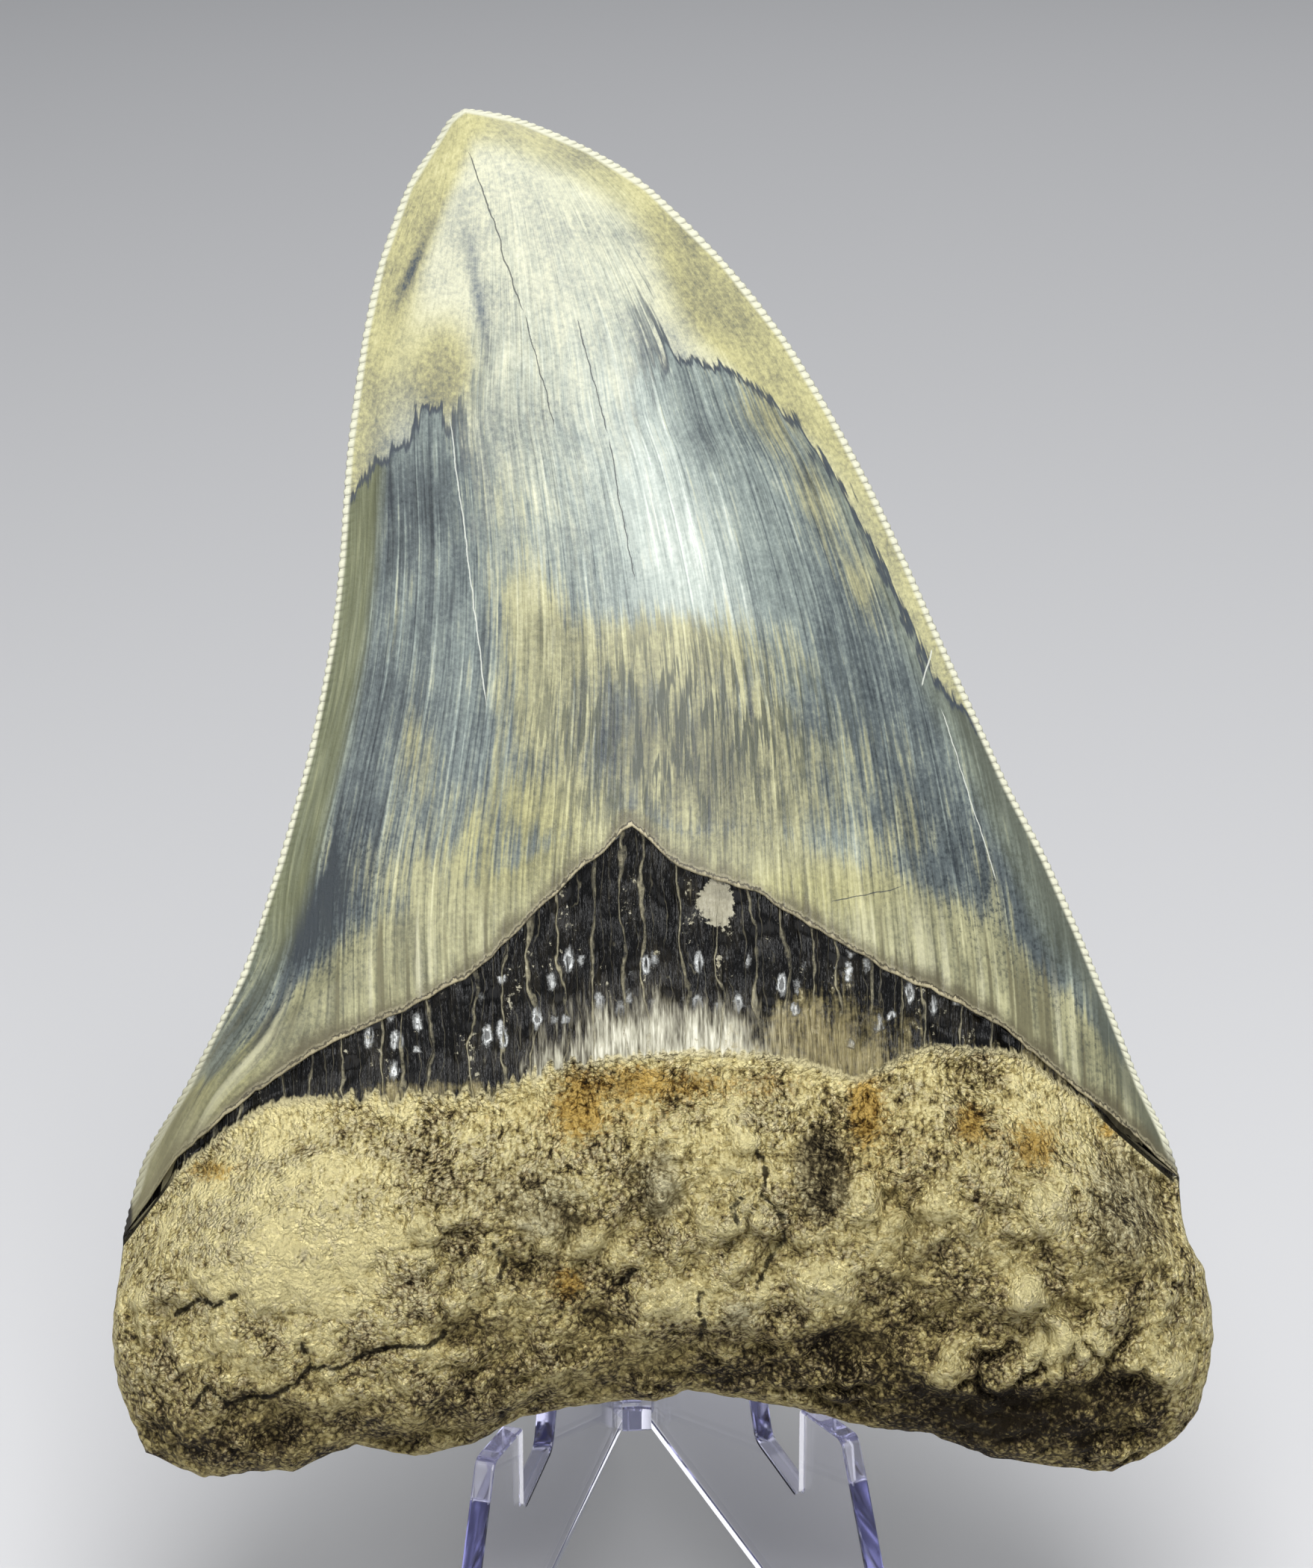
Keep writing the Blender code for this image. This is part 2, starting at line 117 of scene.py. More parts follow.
# The lip's rows after the enamel's last row: how far down, and how far in from the surface.
LIP = [(0.07, 0.03), (0.13, 0.12), (0.14, 0.3), (0.02, 0.7)]
WRINKLE_HEIGHT = 0.16
WRINKLE_ENDS = -44.9, 44
WRINKLE_LEAN = 0.12
WRINKLE_SCALE = 0.8, 0.03
# Wrinkles fade out over this height over the lower edge, and in over this distance to the sides.
WRINKLE_UP = 3, 12
WRINKLE_OUT = 6, 22
# The last row of each sheet closes the shell inside, at this share of the front's depth.
CORE_DEPTH = 0.4
# The enamel's lower edge is ragged over the crown's last rows: by how much, over what reach.
RAGGED_START = 0.93
RAGGED_HEIGHT = 0.75
RAGGED_ENDS = -44.99, 44.09
RAGGED_END_FADE = 6


def within(value, low=0, high=1):
    return min(max(value, low), high)


def smoothstep(value, low=0, high=1):
    value = within((value - low) / (high - low))
    return value * value * (3 - 2 * value)


def along(points, fraction):
    """The point at a fraction of the length of a smooth curve through the points."""
    knots = [Vector(p) for p in points]
    lengths = [0]
    for a, b in zip(knots, knots[1:]):
        lengths.append(lengths[-1] + (b - a).length)
    target = within(fraction) * lengths[-1]
    index = max(i for i in range(len(knots) - 1) if lengths[i] <= target)
    span = lengths[index + 1] - lengths[index]
    t = (target - lengths[index]) / span
    before = knots[max(index - 1, 0)]
    start, end = knots[index], knots[index + 1]
    after = knots[min(index + 2, len(knots) - 1)]
    leave = (end - before) * 0.5
    arrive = (after - start) * 0.5
    t2, t3 = t * t, t * t * t
    return (
        start * (2 * t3 - 3 * t2 + 1) + leave * (t3 - 2 * t2 + t)
        + end * (3 * t2 - 2 * t3) + arrive * (t3 - t2)
    )


def height_at(points, x):
    """The height of a left-to-right line above x."""
    for (x0, y0), (x1, y1) in zip(points, points[1:]):
        if x <= x1 or (x1, y1) == points[-1]:
            return y0 + (y1 - y0) * (x - x0) / (x1 - x0)


def at_share(points, share):
    """The point of a left-to-right line at a share of its width."""
    x = points[0][0] + (points[-1][0] - points[0][0]) * share
    return Vector((x, height_at(points, x)))


def ragged_edge(enamel, x):
    """The enamel's lower edge above x, with its small chips and waves."""
    x = within(x, enamel[0][0] + 0.01, enamel[-1][0] - 0.01)
    ends = smoothstep(min(x - enamel[0][0], enamel[-1][0] - x), 0, RAGGED_END_FADE)
    wave = noise.noise((x * 0.55, 3, 0)) * 0.5 + noise.noise((x * 1.6, 8, 0)) * 0.3
    return height_at(enamel, x) + wave * RAGGED_HEIGHT * ends


def nearest_on(points, spot):
    """Distance from a spot to a line, and on which side: above it is positive."""
    best, side = 1e9, 1
    x, y = spot
    for (x0, y0), (x1, y1) in zip(points, points[1:]):
        run_x, run_y = x1 - x0, y1 - y0
        t = within(((x - x0) * run_x + (y - y0) * run_y) / (run_x * run_x + run_y * run_y))
        gap = math.hypot(x - x0 - run_x * t, y - y0 - run_y * t)
        if gap < best:
            best = gap
            side = 1 if run_x * (y - y0) - run_y * (x - x0) >= 0 else -1
    return best, side


def column_share(column, columns):
    """Columns stand closer together towards the edges."""
    share = column / columns
    eased = 0.5 - 0.5 * math.cos(math.pi * share)
    return share + (eased - share) * COLUMN_EASE


class CrownRow:
    """One row across the crown, at a fraction of the way down its cutting edges."""

    def __init__(self, step):
        self.step = step
        self.left = along(LEFT_CROWN_EDGE, step)
        self.right = along(RIGHT_CROWN_EDGE, step)
        self.width = (self.right - self.left).length
        self.size = (self.width / CROWN_FULL_WIDTH) ** CROWN_TAPER
        self.arch = step ** ROW_ARCH
        self.exact = smoothstep(step, EDGE_ROWS_START, 1)

    def depth(self, share, front):
        """The lens-shaped section, measured forward from the plane of the cutting edges."""
        lens = max(1 - (2 * share - 1) ** 2, 0)
        if front:
            return CROWN_FRONT * self.size * lens ** EDGE_SHARPNESS
        return -CROWN_BACK * self.size * lens

    def point(self, share, front):
        enamel = ENAMEL_EDGES[front]
        chord = Vector(enamel[0]).lerp(Vector(enamel[-1]), share)
        even = ARCH_PEAK[front] * max(1 - (2 * share - 1) ** 2, 0) ** ARCH_FULLNESS
        exact = at_share(enamel, share).y - chord.y
        spot = self.left.lerp(self.right, share)
        spot.y += (even + (exact - even) * self.exact) * self.arch
        if self.step > RAGGED_START:
            ragged = ragged_edge(enamel, spot.x) - height_at(enamel, within(spot.x, *RAGGED_ENDS))
            spot.y += ragged * smoothstep(self.step, RAGGED_START, 1)
        return spot


def arch_peak(enamel):
    """How high the enamel's lower edge rises over the straight line between its ends."""
    shares = [step / ARCH_STEPS for step in range(ARCH_STEPS + 1)]
    chord = Vector(enamel[0]), Vector(enamel[-1])
    return max(at_share(enamel, share).y - chord[0].lerp(chord[1], share).y for share in shares)


ARCH_PEAK = {front: arch_peak(enamel) for front, enamel in ENAMEL_EDGES.items()}


def welded(body):
    """The shape with its doubled vertices joined and its faces outwards."""
    bmesh.ops.remove_doubles(body, verts=body.verts, dist=1e-6)
    bmesh.ops.recalc_face_normals(body, faces=body.faces)
    return body


def in_place(spot, depth):
    """A spot of the flat frame and its depth in front of it, as a vertex place in metres."""
    return Vector((spot[0], -depth, spot[1])) * MM


def sheet_places(body, columns, rows):
    """Adds a flat grid to a bmesh and gives each of its vertices with its column and row."""
    made = bmesh.ops.create_grid(body, x_segments=columns, y_segments=rows, size=0.5)
    for vert in made["verts"]:
        yield vert, round((vert.co.x + 0.5) * columns), round((0.5 - vert.co.y) * rows)


# The lines that the streaks fan between, from the tip down, and how many millimetres wide the
# fan counts as. Left and right of them the streaks run on alongside.
LEFT_STREAK = [
    (-16.9, 60), (-17.4, 56), (-22.6, 39.7), (-25.3, 30.2), (-25.8, 18.9), (-27, 9.5), (-29.2, 0),
    (-31.1, -9.5), (-31.1, -22.1), (-30.5, -60),
]
RIGHT_STREAK = [
    (-14, 60), (-11, 56), (-0.7, 50.4), (10.7, 37.8), (15.2, 30.1), (18, 25.2), (22.8, 12.6),
    (25.9, 0), (27.8, -12.6), (28.4, -25.2), (28.7, -60),
]
FAN_WIDTH = 50
STREAK_STEPS = 120
# The streaks lean over at the left corner: how much, between which distances, below what height.
CORNER_LEAN = 0.55
CORNER_OUT = 25, 38
CORNER_TOP = -13
# The cream of the tip ends in a line: jagged and blue on the left, soft in the middle, and
# drawn out down the right margin.
TIP_LINE = [
    (-27.5, 22.5), (-24.8, 25.3), (-23.8, 26.7), (-20.9, 28.9), (-19.8, 31.6), (-18.2, 31.2),
    (-15, 29.5), (-11, 33.5), (-5, 36.5), (-0.6, 37.5), (1.9, 35.5), (5.2, 34.9), (8.1, 33.6),
    (10.5, 31.6), (12.1, 29.9), (13.7, 27.6), (16.1, 24.3), (18.7, 19), (21, 14.1), (24, 7.9),
    (26.4, 5.4), (30.5, 2), (38, -4), (60, -20),
]
SOFT_STARTS, SOFT_ENDS = (-18.5, -13), (-4, 2)
SHARP_BLUR, SOFT_BLUR = 0.3, 4.2
# Blotches of the enamel: x, y, half width, half height, lean, amount. A blotch counts out to so
# many times its half size.
BLOTCH_REACH = 2.6
CREAM_BLOTCHES = [
    (-9.4, 12.2, 4, 4.2, 0.25, 0.95), (1.8, 11, 7.4, 2.8, 0.2, 0.9),
    (-10.8, 5.4, 3.6, 4.2, 0.2, 0.4), (-9.6, -2.4, 6.8, 4.4, 0.1, 0.75),
    (-17.6, -10, 7.4, 5.4, 0.1, 0.75), (-20.1, 3.2, 1.8, 5, 0.1, 0.5),
    (9.3, 30.4, 2.6, 3.2, 0.3, 0.75), (13.6, 23, 2, 4.4, 0.3, 0.6), (17.3, 16, 1.9, 3.8, 0.3, 0.65),
    (21.2, -3.8, 1.6, 3.8, 0.2, 0.5), (27.8, -8.2, 1.3, 3.8, 0.3, 0.4),
    (18.6, -6.4, 1.6, 3.6, 0.2, 0.45), (4.6, 2.2, 10.4, 7, 0.2, 0.85), (7, -2.4, 8, 2.6, 0, 0.4),
    (-13.6, 24, 3, 9, 0.25, 0.35),
]
DARK_BLOTCHES = [
    (-22, 9.5, 5.7, 16.4, 0, 0.55), (-27, -8, 3.8, 8.6, -0.2, 1.15),
    (-31.6, -14.6, 2.8, 5.2, -0.3, 0.9), (-35, -20, 2.2, 3.6, -0.5, 1.1),
    (-28.7, -11, 2.4, 4.4, -0.3, 0.5), (19, 6.3, 5.7, 12.6, 0.3, 0.5),
    (25.9, -6.3, 5.4, 7.4, 0.3, 0.8), (32.2, -13.9, 3.8, 5.4, 0.4, 0.8),
    (37.6, -22.6, 2.6, 5, 0.45, 0.6), (4.6, 2.8, 12, 5.6, 0.1, 0.88), (-6.6, 6.4, 6.6, 3.8, 0, 0.6),
    (13, 25.6, 1, 1.5, 0.3, 0.8), (5.2, 39.6, 3.4, 4.2, 0.6, 0.28),
    (8.6, 34.6, 2.6, 2.2, 0.6, 0.25), (-20.5, 43.2, 0.5, 2.9, -0.45, 0.9),
    (-21.2, 43, 1.9, 5.5, -0.4, 0.22), (-14.8, 40.3, 0.5, 4.4, 0.15, 0.85),
    (-1.4, 36.9, 0.6, 2.2, 0.3, 0.7), (3.4, 30.5, 1.8, 6, 0.25, 0.7), (-21.6, 22.8, 3.4, 6, 0, 0.7),
    (-16.6, 22, 1.5, 7, 0.1, 0.45),
]
# The pale blotches light the front's middle: partly its own paler enamel, partly a painted
# highlight.
PALE_AND_HIGHLIGHT_BLOTCHES = [(-1.2, 25.1, 5.4, 14.5, 0.27, 0.75), (3.4, 17, 4.2, 6, 0.27, 0.42)]
YELLOW_BLOTCHES = [
    (-18, 34.5, 3.6, 5.4, 0, 1), (-20.4, 47, 2, 8.5, -0.4, 0.9), (10.5, 36.5, 3.5, 5.5, 0.6, 0.8),
    (-12, -4, 7, 6, 0, 0.9), (12, -9, 9, 2.8, -0.4, 0.8), (-36.5, -24, 5, 6, 0, 0.8),
    (6, 39, 5.2, 6, 0.55, 0.95),
]
# How high the cream band stands over the enamel's lower edge, from left to right, how strong it
# is, and between which shares of its height it ends.
BASE_CREAM = 1.1
BASE_END = 0.55, 1.25
BASE_BAND = [
    (-46, 6), (-36, 4.4), (-31, 6), (-27, 8.2), (-21, 7.5), (-14, 6), (-8, 3.5), (-2, 1.2),
    (5, 3.4), (12, 6), (18, 7.4), (24, 8.8), (30, 8.2), (35, 7), (40, 5.6), (46, 4.5),
]


def blotched(spot, blotches):
    """The sum of soft, leaning oval blotches at a spot."""
    total = 0
    for x, y, half_width, half_height, lean, amount in blotches:
        down = (spot[1] - y) / half_height
        if abs(down) < BLOTCH_REACH:
            across = (spot[0] - x + lean * (spot[1] - y)) / half_width
            if abs(across) < BLOTCH_REACH:
                total += amount * math.exp(-across * across - down * down)
    return total


def curve_table(points):
    """A smooth falling line as a list of its places, for reading x at a height."""
    return [tuple(along(points, s / STREAK_STEPS)) for s in range(STREAK_STEPS + 1)]


STREAK_TABLES = curve_table(LEFT_STREAK), curve_table(RIGHT_STREAK)


def x_at(table, y):
    """Where a falling line stands at a height."""
    low, high = 0, len(table) - 1
    while high - low > 1:
        middle = (low + high) // 2
        if table[middle][1] >= y:
            low = middle
        else:
            high = middle
    (x0, y0), (x1, y1) = table[low], table[high]
    return x0 + (x1 - x0) * within((y0 - y) / max(y0 - y1, 1e-6))


def streak_across(spot):
    """Across the fan of streaks, in millimetres of its full width."""
    left, right = x_at(STREAK_TABLES[0], spot[1]), x_at(STREAK_TABLES[1], spot[1])
    return (spot[0] - left) / (right - left) * FAN_WIDTH


def wrinkling(spot, front):
    """How wrinkled the enamel is over its lower edge: most near the corners."""
    enamel = ENAMEL_EDGES[front]
    over = spot[1] - height_at(enamel, within(spot[0], *WRINKLE_ENDS))
    return (1 - smoothstep(over, *WRINKLE_UP)) * smoothstep(abs(spot[0] - 1), *WRINKLE_OUT)


def wrinkles(spot, front):
    """The relief of the fine upright wrinkles."""
    across = spot[0] - WRINKLE_LEAN * spot[1]
    seat = across * WRINKLE_SCALE[0], spot[1] * WRINKLE_SCALE[1], 4
    return noise.noise(seat) * wrinkling(spot, front)


def paint_enamel(body):
    """Writes the fan of streaks as the UV map, and the enamel's patches as attributes."""
    fan = body.loops.layers.uv.new("streak_fan")
    names = "cream dark pale yellow tip_side tip_sharp edge_in base_up front wrinkle"
    layers = {name: body.verts.layers.float.new(name) for name in names.split()}
    fan_place = {}
    for vert in body.verts:
        spot = (vert.co.x / MM, vert.co.z / MM)
        front = 1 if vert.co.y < 0 else 0
        lean = CORNER_LEAN * smoothstep(-spot[0], *CORNER_OUT) * min(spot[1] - CORNER_TOP, 0)
        across = streak_across((spot[0] - lean, spot[1]))
        fan_place[vert] = (across / FAN_WIDTH, spot[1] / FAN_WIDTH)
        enamel = ENAMEL_EDGES[front]
        base_up = spot[1] - ragged_edge(enamel, spot[0])
        band = height_at(BASE_BAND, spot[0])
        gap, side = nearest_on(TIP_LINE, spot)
        soft = smoothstep(spot[0], *SOFT_STARTS) * (1 - smoothstep(spot[0], *SOFT_ENDS))
        edge_in = min(nearest_on(LEFT_CROWN_EDGE, spot)[0], nearest_on(RIGHT_CROWN_EDGE, spot)[0])
        base_cream = BASE_CREAM * (1 - smoothstep(base_up, *(share * band for share in BASE_END)))
        # The pale value, on the front only, is partly a painted highlight.
        values = {
            "cream": blotched(spot, CREAM_BLOTCHES) + base_cream,
            "dark": blotched(spot, DARK_BLOTCHES), "pale": blotched(spot, PALE_AND_HIGHLIGHT_BLOTCHES) * front,
            "yellow": blotched(spot, YELLOW_BLOTCHES),
            "tip_side": side * gap / (SHARP_BLUR + SOFT_BLUR * soft), "tip_sharp": 1 - soft,
            "edge_in": edge_in, "base_up": base_up, "front": front,
            "wrinkle": wrinkling(spot, front),
        }
        for name, value in values.items():
            vert[layers[name]] = value
    for face in body.faces:
        for loop in face.loops:
            loop[fan].uv = fan_place[loop.vert]


def crown_body():
    body = bmesh.new()
    rows = [CrownRow(row / CROWN_ROWS) for row in range(CROWN_ROWS + 1)]
    shares = [column_share(column, CROWN_COLUMNS) for column in range(CROWN_COLUMNS + 1)]
    for front in (True, False):
        sign = 1 if front else -1
        for vert, column, row in sheet_places(body, CROWN_COLUMNS, CROWN_ROWS + len(LIP) + 1):
            share = shares[column]
            edge = column in (0, CROWN_COLUMNS) or row == 0
            crown_row = rows[min(row, CROWN_ROWS)]
            spot = crown_row.point(share, front)
            depth = 0 if edge else crown_row.depth(share, front)
            if not edge:
                depth += sign * WRINKLE_HEIGHT * wrinkles(spot, front) * min(abs(depth), 1)
            if row > CROWN_ROWS + len(LIP):
                other = at_share(ENAMEL_EDGES[not front], share)
                spot = spot.lerp(other, 0.5)
                depth = 0 if edge else CORE_DEPTH * crown_row.depth(share, True)
            elif row > CROWN_ROWS:
                down, inward = LIP[row - CROWN_ROWS - 1]
                fade = min(abs(depth), 1)
                spot.y -= down * fade
                depth -= sign * inward * fade
            vert.co = in_place(spot, depth)
    return welded(body)


def finished(name, body, material, node):
    """Makes a shape a piece of the scene, in place of a CAD node."""
    mesh = bpy.data.meshes.new(name)
    body.to_mesh(mesh)
    body.free()
    mesh.shade_smooth()
    mesh.materials.append(material)
    piece = linked(name, mesh)
    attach(piece, "root")
    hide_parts(node)
    return piece


class Value:
    """A node's result that reckons like a number: each step adds a node to its tree."""

    def __init__(self, made, output=0):
        self.tree, self.socket = made.id_data, made.outputs[output]

    def math(self, operation, *others):
        return result(self.tree, "Math", enumerate((self, *others)), operation=operation)

    def __add__(self, other):
        return self.math("ADD", other)

    def __sub__(self, other):
        return self.math("SUBTRACT", other)

    def __rsub__(self, other):
        return self * -1 + other

    def __mul__(self, other):
        return self.math("MULTIPLY", other)

    def __truediv__(self, other):
        return self.math("DIVIDE", other)

    def __abs__(self):
        return self.math("ABSOLUTE")


def fill(made, inputs):
    """Gives a shader node its inputs, as numbers or as links."""
    for socket, value in dict(inputs).items():
        if isinstance(value, Value):
            made.id_data.links.new(value.socket, made.inputs[socket])
        else:
            made.inputs[socket].default_value = value


def node(tree, kind, inputs=(), **settings):
    """Adds a shader node with its settings and its inputs."""
    made = tree.nodes.new("ShaderNode" + kind)
    for name, value in settings.items():
        setattr(made, name, value)
    fill(made, inputs)
    return made


def result(tree, kind, inputs=(), output=0, **settings):
    """The result of a new shader node."""
    return Value(node(tree, kind, inputs, **settings), output)


def new_material(name):
    """A material, its node tree and its main shader."""
    material = bpy.data.materials.new(name)
    material.use_nodes = True
    return material, material.node_tree, material.node_tree.nodes["Principled BSDF"]


def vectors(operation, first, *others, output=0, **more):
    """A Vector Math node's result."""
    inputs = {**dict(enumerate((first, *others))), **more}
    return result(first.tree, "VectorMath", inputs, output, operation=operation)


def split(vector, kind="SeparateXYZ"):
    """The three parts of a vector or, by SeparateColor, of a colour."""
    made = node(vector.tree, kind, {0: vector})
    return [Value(made, part) for part in range(3)]


def ramp(value, low, high, smooth=True):
    """A value brought from low..high to 0..1, and kept there."""
    kind = "SMOOTHSTEP" if smooth else "LINEAR"
    inputs = {"Value": value, "From Min": low, "From Max": high}
    return result(value.tree, "MapRange", inputs, interpolation_type=kind)


def mixed(factor, under, over, blend="MIX"):
    """Two colours mixed by a factor."""
    inputs = {0: factor, 6: under, 7: (*over, 1) if isinstance(over, tuple) else over}
    return result(factor.tree, "Mix", inputs, 2, data_type="RGBA", blend_type=blend)


def mixed_value(factor, under, over):
    """Two values mixed by a factor."""
    return result(factor.tree, "Mix", {0: factor, 2: under, 3: over}, data_type="FLOAT")


def blotch_mask(place, middle, half):
    """One soft oval on the flat frame: 1 in its middle, 0 outside."""
    offset = vectors("SUBTRACT", place, (middle[0], 0, middle[1]))
    scaled = vectors("MULTIPLY", offset, (1 / half[0], 0, 1 / half[1]))
    return ramp(vectors("LENGTH", scaled, output="Value"), 1, 0.2)


def attribute(tree, name):
    return result(tree, "Attribute", (), "Fac", attribute_name=name)


def noises(place, scale, detail, output=0, **more):
    """A noise texture's value, or its colour."""
    return result(
        place.tree, "TexNoise", {"Vector": place, "Scale": scale, "Detail": detail, **more}, output,
    )


def colours(value, *stops):
    """A colour ramp through (place, red, green, blue) stops."""
    made = node(value.tree, "ValToRGB", {0: value})
    elements = made.color_ramp.elements
    while len(elements) < len(stops):
        elements.new(0.5)
    for element, (place, *colour) in zip(elements, stops):
        element.position = place
        element.color = (*colour, 1)
    return Value(made)


def new_group(name, places, numbers, outputs):
    """An empty shader node group, its inputs as values, and its end node."""
    group = bpy.data.node_groups.new(name, "ShaderNodeTree")
    kinds = (places, "INPUT", "Vector"), (numbers, "INPUT", "Float"), (outputs, "OUTPUT", "Float")
    for sockets, side, kind in kinds:
        for socket in sockets:
            group.interface.new_socket(name=socket, in_out=side, socket_type="NodeSocket" + kind)
    start = group.nodes.new("NodeGroupInput")
    given = [Value(start, socket) for socket in (*places, *numbers)]
    return group, given, group.nodes.new("NodeGroupOutput")


def streaks_group():
    """Noise about -1 to 1, drawn out down the fan: so wide across and so long down, in mm."""
    numbers = "Across", "Down", "Layer", "Width", "Length", "Detail"
    group, given, end = new_group("streaks", (), numbers, ("Value", "Hair"))
    across, down, layer, width, length, detail = given
    place = result(group, "CombineXYZ", {0: across / width, 1: down / length, 2: layer})
    value = noises(place, 1, detail) * 4 - 2
    fill(end, {"Value": value, "Hair": ramp(abs(value), 0.16, 0)})
    return group


def hairline_group():
    """A fine line between two spots of the flat frame, wandering a little: 1 on it, 0 off it."""
    places = "Place", "Start", "End"
    group, given, end = new_group("hairline", places, ("Width", "Wander"), ("Line",))
    place, from_spot, to_spot, width, wander = given
    shift = vectors("SUBTRACT", noises(place, 0.6, 4, "Color"), (0.5, 0.5, 0.5))
    place = vectors("ADD", place, vectors("SCALE", shift, Scale=wander))
    place = vectors("MULTIPLY", place, (1, 0, 1))
    run = vectors("SUBTRACT", to_spot, from_spot)
    offset = vectors("SUBTRACT", place, from_spot)
    reach = vectors("DOT_PRODUCT", offset, run, output="Value")
    reach = reach / vectors("DOT_PRODUCT", run, run, output="Value")
    foot = vectors("SCALE", run, Scale=ramp(reach, 0, 1, smooth=False))
    gap = vectors("DISTANCE", offset, foot, output="Value")
    width = width * ramp(reach, 0, 0.08) * ramp(reach, 1, 0.92)
    fill(end, {"Line": 1 - ramp(gap / width.math("MAXIMUM", 0.0001), 0.4, 1)})
    return group


def tooth_place(tree):
    """Object coordinates turned and scaled to the tooth's flat frame, in millimetres."""
    turn = Matrix.Rotation(TOOTH_LEAN, 3, "X")
    return result(tree, "Mapping", {
        "Vector": result(tree, "TexCoord", output="Object"),
        "Location": -(turn @ TOOTH_PLACE),
        "Rotation": (TOOTH_LEAN, 0, 0),
        "Scale": (1 / MM, 1 / MM, 1 / MM),
    })


def fan_of_streaks(tree):
    """Across the fan in mm, each side's own layer of noise, and a maker of streaks down the fan."""
    fan = split(result(tree, "UVMap", uv_map="streak_fan"))
    across, down = fan[0] * FAN_WIDTH, fan[1] * FAN_WIDTH

    def streaks(width, length, detail, layer, output="Value"):
        inputs = {
            "Across": across, "Down": down, "Layer": layer, "Width": width, "Length": length,
            "Detail": detail,
        }
        return result(tree, "Group", inputs, output, node_tree=STREAKS)

    return across, attribute(tree, "front") * 7, streaks


STREAKS = streaks_group()
HAIRLINE = hairline_group()
# Hairline cracks of the crown and lighter scratches: start, end, width, wander.
CROWN_CRACKS = [
    ((-15.8, 0, 53.3), (-11, 0, 39.1), 0.085, 0.7), ((-11, 0, 39.1), (-8.4, 0, 29.4), 0.07, 0.7),
    ((-6.7, 0, 38.8), (-4, 0, 28.9), 0.07, 0.6), ((-4, 0, 28.9), (-1.8, 0, 16.6), 0.075, 0.6),
    ((14.2, 0, -9.7), (20.4, 0, -8.5), 0.06, 0.5),
]
CROWN_SCRATCHES = [
    ((-17.3, 0, 31), (-14, 0, 6), 0.075, 0.4), ((23.2, 0, 11.4), (22.3, 0, 8.2), 0.09, 0.3),
    ((23.9, 0, 6.5), (28.6, 0, -8.5), 0.06, 0.4),
]


